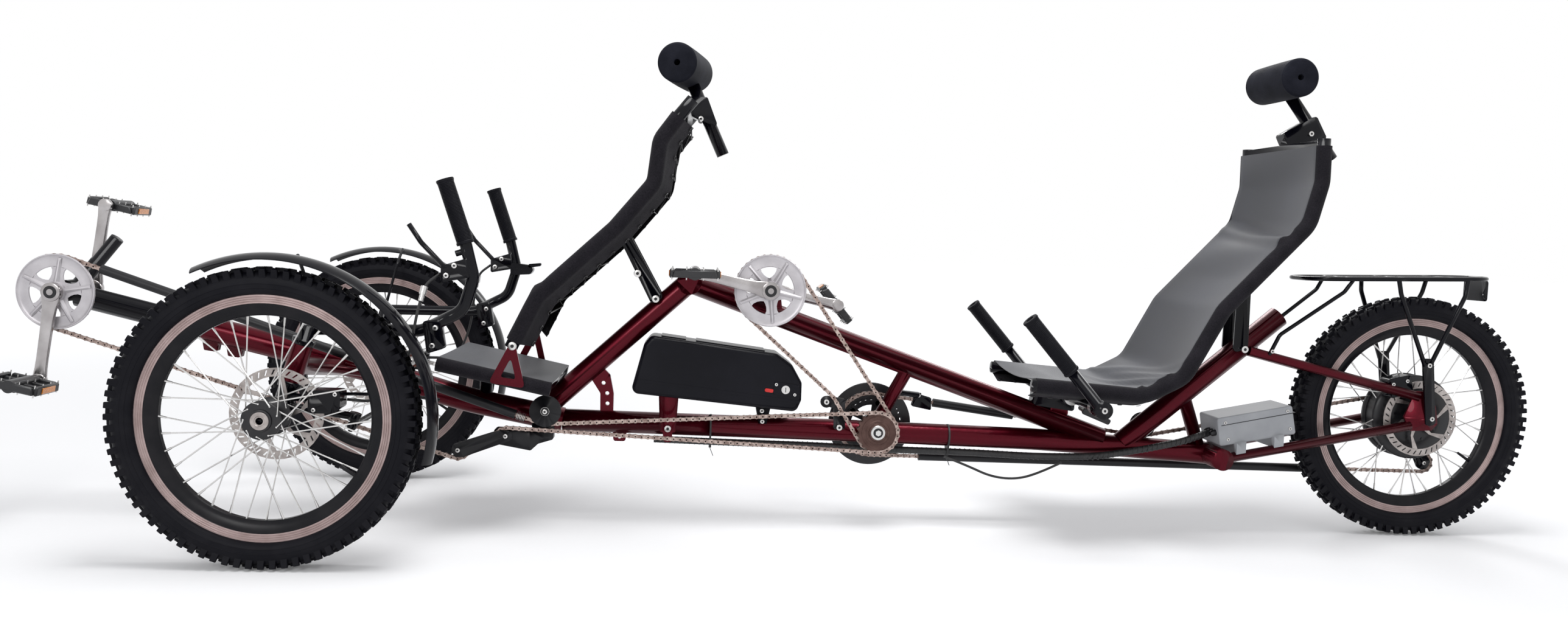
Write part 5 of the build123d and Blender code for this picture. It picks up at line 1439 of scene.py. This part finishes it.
for strip in (
    ((0.650, 0.386), (0.700, 0.3800), (0.699, 0.3780), (0.650, 0.384)),
    ((0.720, 0.3778), (0.860, 0.3612), (0.860, 0.3590), (0.720, 0.3756)),
):
    blade(fittings, strip, 0.0, 0.060, 0.0006, index=2)
fittings = piece(fittings, "battery_fittings", "frame", bright_steel, black_anodise_and_shade, moulded_black,
                 signal_red)

# ---- Controller box -----------------------------------------------------------------------
# A die-cast box in pale grey between the rear stays, with its lid's joint line, four lid
# screws and the glands where the leads go in.
grey_cast, mix = finish("grey_cast_box")
grain = mix.noise(850.0, 3.0)
haze = mix.noise(16.0, 6.0)
mix.surface({
    "Base Color": haze.clip(0.35, 0.7).tint((0.30, 0.31, 0.33), (0.37, 0.38, 0.40)),
    "Roughness": 0.46 + haze * 0.12,
    "Specular IOR Level": 0.40,
    "Normal": mix.bump(0.16, 0.0003, grain),
})
box = piece(solid_copy("controller_box"), "controller_housing", "frame", grey_cast, crease=30.0)
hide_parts("controller_box")
fittings = bmesh.new()
blade(fittings, ((1.8120, 0.2330), (1.9700, 0.2648), (1.9694, 0.2662), (1.8116, 0.2344)),
      -0.015, 0.0906, 0.0004, index=1)
for station, height in ((1.820, 0.240), (1.952, 0.268), (1.828, 0.205), (1.960, 0.231)):
    cap_screw(fittings, place_at(station, -0.0600, height), (0, -1, 0), 0.0034, 0.0018)
for side in (-0.044, -0.030, -0.016):
    rod(fittings, place_at(1.812, side, 0.218), place_at(1.800, side, 0.2155), 0.0065, sides=24,
        index=1)
    rod(fittings, place_at(1.800, side, 0.2155), place_at(1.796, side, 0.2147), 0.0065, 0.0040,
        sides=24, index=1)
fittings = piece(fittings, "controller_fittings", "frame", bright_steel, black_anodise_and_shade)

# ---- Chain tubes and idlers ---------------------------------------------------------------
# Black polythene tubes keep the long chain runs quiet, and flanged idlers of black nylon
# turn them. A coil spring takes up the rear end of the captain's tube.
tube_plastic, mix = finish("tube_plastic")
haze = mix.noise(20.0, 7.0)
mix.surface({
    "Base Color": haze.clip(0.35, 0.7).tint((0.0030, 0.0030, 0.0050), (0.0100, 0.0098, 0.0120)),
    "Roughness": 0.34 + haze * 0.18,
    "Specular IOR Level": 0.36,
})
for name, label in (("chain_tubes", "chain_sheaths"), ("chain_guides", "chain_idlers")):
    made = piece(solid_copy(name), label, "frame", tube_plastic, crease=30.0)
    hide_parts(name)
fittings = bmesh.new()
for station, height, chain_y in ((0.426, 0.231, CAPTAIN_LINE), (1.687, 0.215, DRIVE_LINE)):
    for hand in (-1, 1):
        face = chain_y + hand * 0.0055
        for stand, radius, index in ((0.0012, 0.0085, 0), (0.0016, 0.0068, 1)):
            rod(fittings, place_at(station, face, height),
                place_at(station, face + hand * stand, height), radius, sides=40, index=index)
        cap_screw(fittings, place_at(station, face + hand * 0.0016, height),
                  (0, hand, 0), 0.0050, 0.0040)
for station, height in ((0.258, 0.150), (0.350, 0.180)):
    for hand in (-1, 1):
        cap_screw(fittings, place_at(station, CAPTAIN_LINE + hand * 0.0064, height),
                  (0, hand, 0), 0.0045, 0.0030)
cap_screw(fittings, place_at(0.987, STOKER_LINE - 0.0030, 0.262), (0, -1, 0), 0.0055, 0.0035)
cap_screw(fittings, place_at(1.016, -0.0440, 0.209), (0, -1, 0), 0.0062, 0.0040)
cap_screw(fittings, place_at(1.016, STOKER_LINE + 0.0050, 0.240), (0, -1, 0), 0.0040, 0.0030)
fittings = piece(fittings, "idler_bolts", "frame", bright_steel, black_anodise_and_shade)
SPRING_TURNS, SPRING_STEPS, SPRING_LENGTH = 6, 120, 0.018
chain_run = Vector((0.786, 0.0, -0.2615)).normalized()
spring_end = place_at(0.3700, -0.0610, 0.2221)
spring = bmesh.new()
bmesh.ops.create_circle(spring, segments=8, radius=0.0008,
                        matrix=Matrix.Translation(spring_end + Vector((0.0, 0.0078, 0.0))))
bmesh.ops.spin(spring, geom=spring.verts[:] + spring.edges[:], cent=spring_end, axis=chain_run,
               dvec=chain_run * (SPRING_LENGTH / SPRING_STEPS), angle=2 * pi * SPRING_TURNS,
               steps=SPRING_STEPS)
bmesh.ops.holes_fill(spring, edges=[edge for edge in spring.edges if edge.is_boundary], sides=0)
spring = piece(spring, "tube_spring", "frame", bright_steel, crease=60.0)

# ---- Cables -------------------------------------------------------------------------------
# The motor and lamp leads run below the frame in a spiral wrap, held up by two ties, and a
# black housing runs from each brake lever's barrel down to its caliper.
HARNESS = (
    (0.640, -0.004, 0.170), (0.800, -0.003, 0.166), (0.960, 0.003, 0.163),
    (1.120, 0.000, 0.158), (1.280, -0.004, 0.157), (1.440, -0.010, 0.152),
    (1.560, -0.030, 0.158), (1.660, -0.040, 0.178), (1.740, -0.040, 0.196),
    (1.799, -0.030, 0.214),
)
harness = solid_copy("frame_cables")
for near, far in zip(HARNESS, HARNESS[1:]):
    start, end = place_at(*near), place_at(*far)
    onward = (end - start).normalized()
    turns = round((end - start).length / 0.010)
    for step in range(turns):
        middle = start.lerp(end, (step + 0.5) / turns)
        ring = bmesh.new()
        rod(ring, (0, 0, -0.0016), (0, 0, 0.0016), 0.0077, sides=20)
        add_part(harness, ring, Matrix.Translation(middle) @ turn_to(onward)
                 @ Matrix.Rotation(radians(24), 4, "X"))
harness = piece(harness, "wrapped_harness", "frame", cable_jacket, crease=40.0)
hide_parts("frame_cables")
ties = bmesh.new()
for station, tube_height, lead_height in ((0.755, 0.2006, 0.1671), (1.249, 0.1914, 0.1572)):
    corners = []
    for edge in (-0.0018, 0.0018):
        for height, radius in ((tube_height, 0.0234), (lead_height, 0.0088)):
            corners += bmesh.ops.create_circle(
                ties, segments=48, radius=radius,
                matrix=Matrix.Translation(place_at(station + edge, -0.0032, height))
                @ Matrix.Rotation(radians(90), 4, "Y"))["verts"]
    hull = bmesh.ops.convex_hull(ties, input=corners)
    bmesh.ops.delete(ties, geom=verts_of(hull["geom_interior"]), context="VERTS")
    head = Matrix.Translation(place_at(station, -0.0032, lead_height - 0.0100))
    bmesh.ops.create_cube(ties, size=1.0,
                          matrix=head @ Matrix.Diagonal((0.0050, 0.0056, 0.0042, 1)))
    tail = Matrix.Translation(place_at(station + 0.0030, -0.0032, lead_height - 0.0200))
    bmesh.ops.create_cube(ties, size=1.0, matrix=tail @ Matrix.Rotation(radians(-22), 4, "Y")
                          @ Matrix.Diagonal((0.0012, 0.0036, 0.0200, 1)))
ties = piece(ties, "harness_ties", "frame", cable_jacket, crease=30.0)
for name, hand in (("left", -1), ("right", 1)):
    housing = piece(solid_copy(f"{name}_brake_cable"), f"{name}_brake_housing",
                    f"{name}_knuckle", cable_jacket, crease=50.0)
    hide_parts(f"{name}_brake_cable")
    barrels = bmesh.new()
    top, low = place_at(0.2330, hand * 0.2670, 0.4820), place_at(0.2280, hand * 0.2735, 0.4560)
    rod(barrels, top, top.lerp(low, 0.55), 0.0062, sides=24)
    rod(barrels, top.lerp(low, 0.55), low, 0.0046, sides=24)
    foot, end = place_at(0.136, hand * 0.2892, 0.278), place_at(0.120, hand * 0.3015, 0.280)
    rod(barrels, foot, end, 0.0045, sides=24)
    barrels = piece(barrels, f"{name}_cable_barrels", f"{name}_knuckle", bright_steel)

# ---- Shifter and small bolts --------------------------------------------------------------
# A thumb shifter on the captain's right bar, a stem with a round knob on the left one, and
# the small screws of the rack, the rear caliper and the derailleurs.
shifter = bmesh.new()
blade(shifter, ((0.306, 0.486), (0.350, 0.489), (0.356, 0.499), (0.350, 0.509), (0.306, 0.514)),
      0.262, 0.032, 0.007)
blade(shifter, ((0.344, 0.503), (0.372, 0.508), (0.374, 0.515), (0.346, 0.512)),
      0.252, 0.012, 0.003)
shifter = piece(shifter, "thumb_shifter", "right_knuckle", black_enamel)
paddle = bmesh.new()
rod(paddle, place_at(0.286, -0.262, 0.542), place_at(0.303, -0.262, 0.548), 0.0055, sides=24)
rod(paddle, place_at(0.3050, -0.2700, 0.5485), place_at(0.3050, -0.2540, 0.5485), 0.0095,
    sides=36)
paddle = piece(paddle, "bar_paddle", "left_knuckle", black_enamel)
screws = bmesh.new()
for hand in (-1, 1):
    cap_screw(screws, place_at(1.921, hand * 0.0390, 0.390), (0, hand, 0), 0.0042, 0.0032)
    cap_screw(screws, place_at(2.236, hand * 0.0862, 0.374), (0, hand, 0), 0.0050, 0.0036)
    cap_screw(screws, place_at(2.252, hand * 0.0825, 0.262), (0, hand, 0), 0.0050, 0.0036)
for station, height in ((2.176, 0.330), (2.206, 0.338), (2.192, 0.318)):
    cap_screw(screws, place_at(station, -0.0620, height), (0, -1, 0), 0.0040, 0.0032)
for station, height in ((1.1935, 0.2675), (2.292, 0.192), (2.325, 0.146)):
    for hand in (-1, 1):
        cap_screw(screws, place_at(station, DRIVE_LINE + hand * 0.0064, height),
                  (0, hand, 0), 0.0045, 0.0030)
screws = piece(screws, "small_screws", "frame", bright_steel, black_anodise_and_shade)
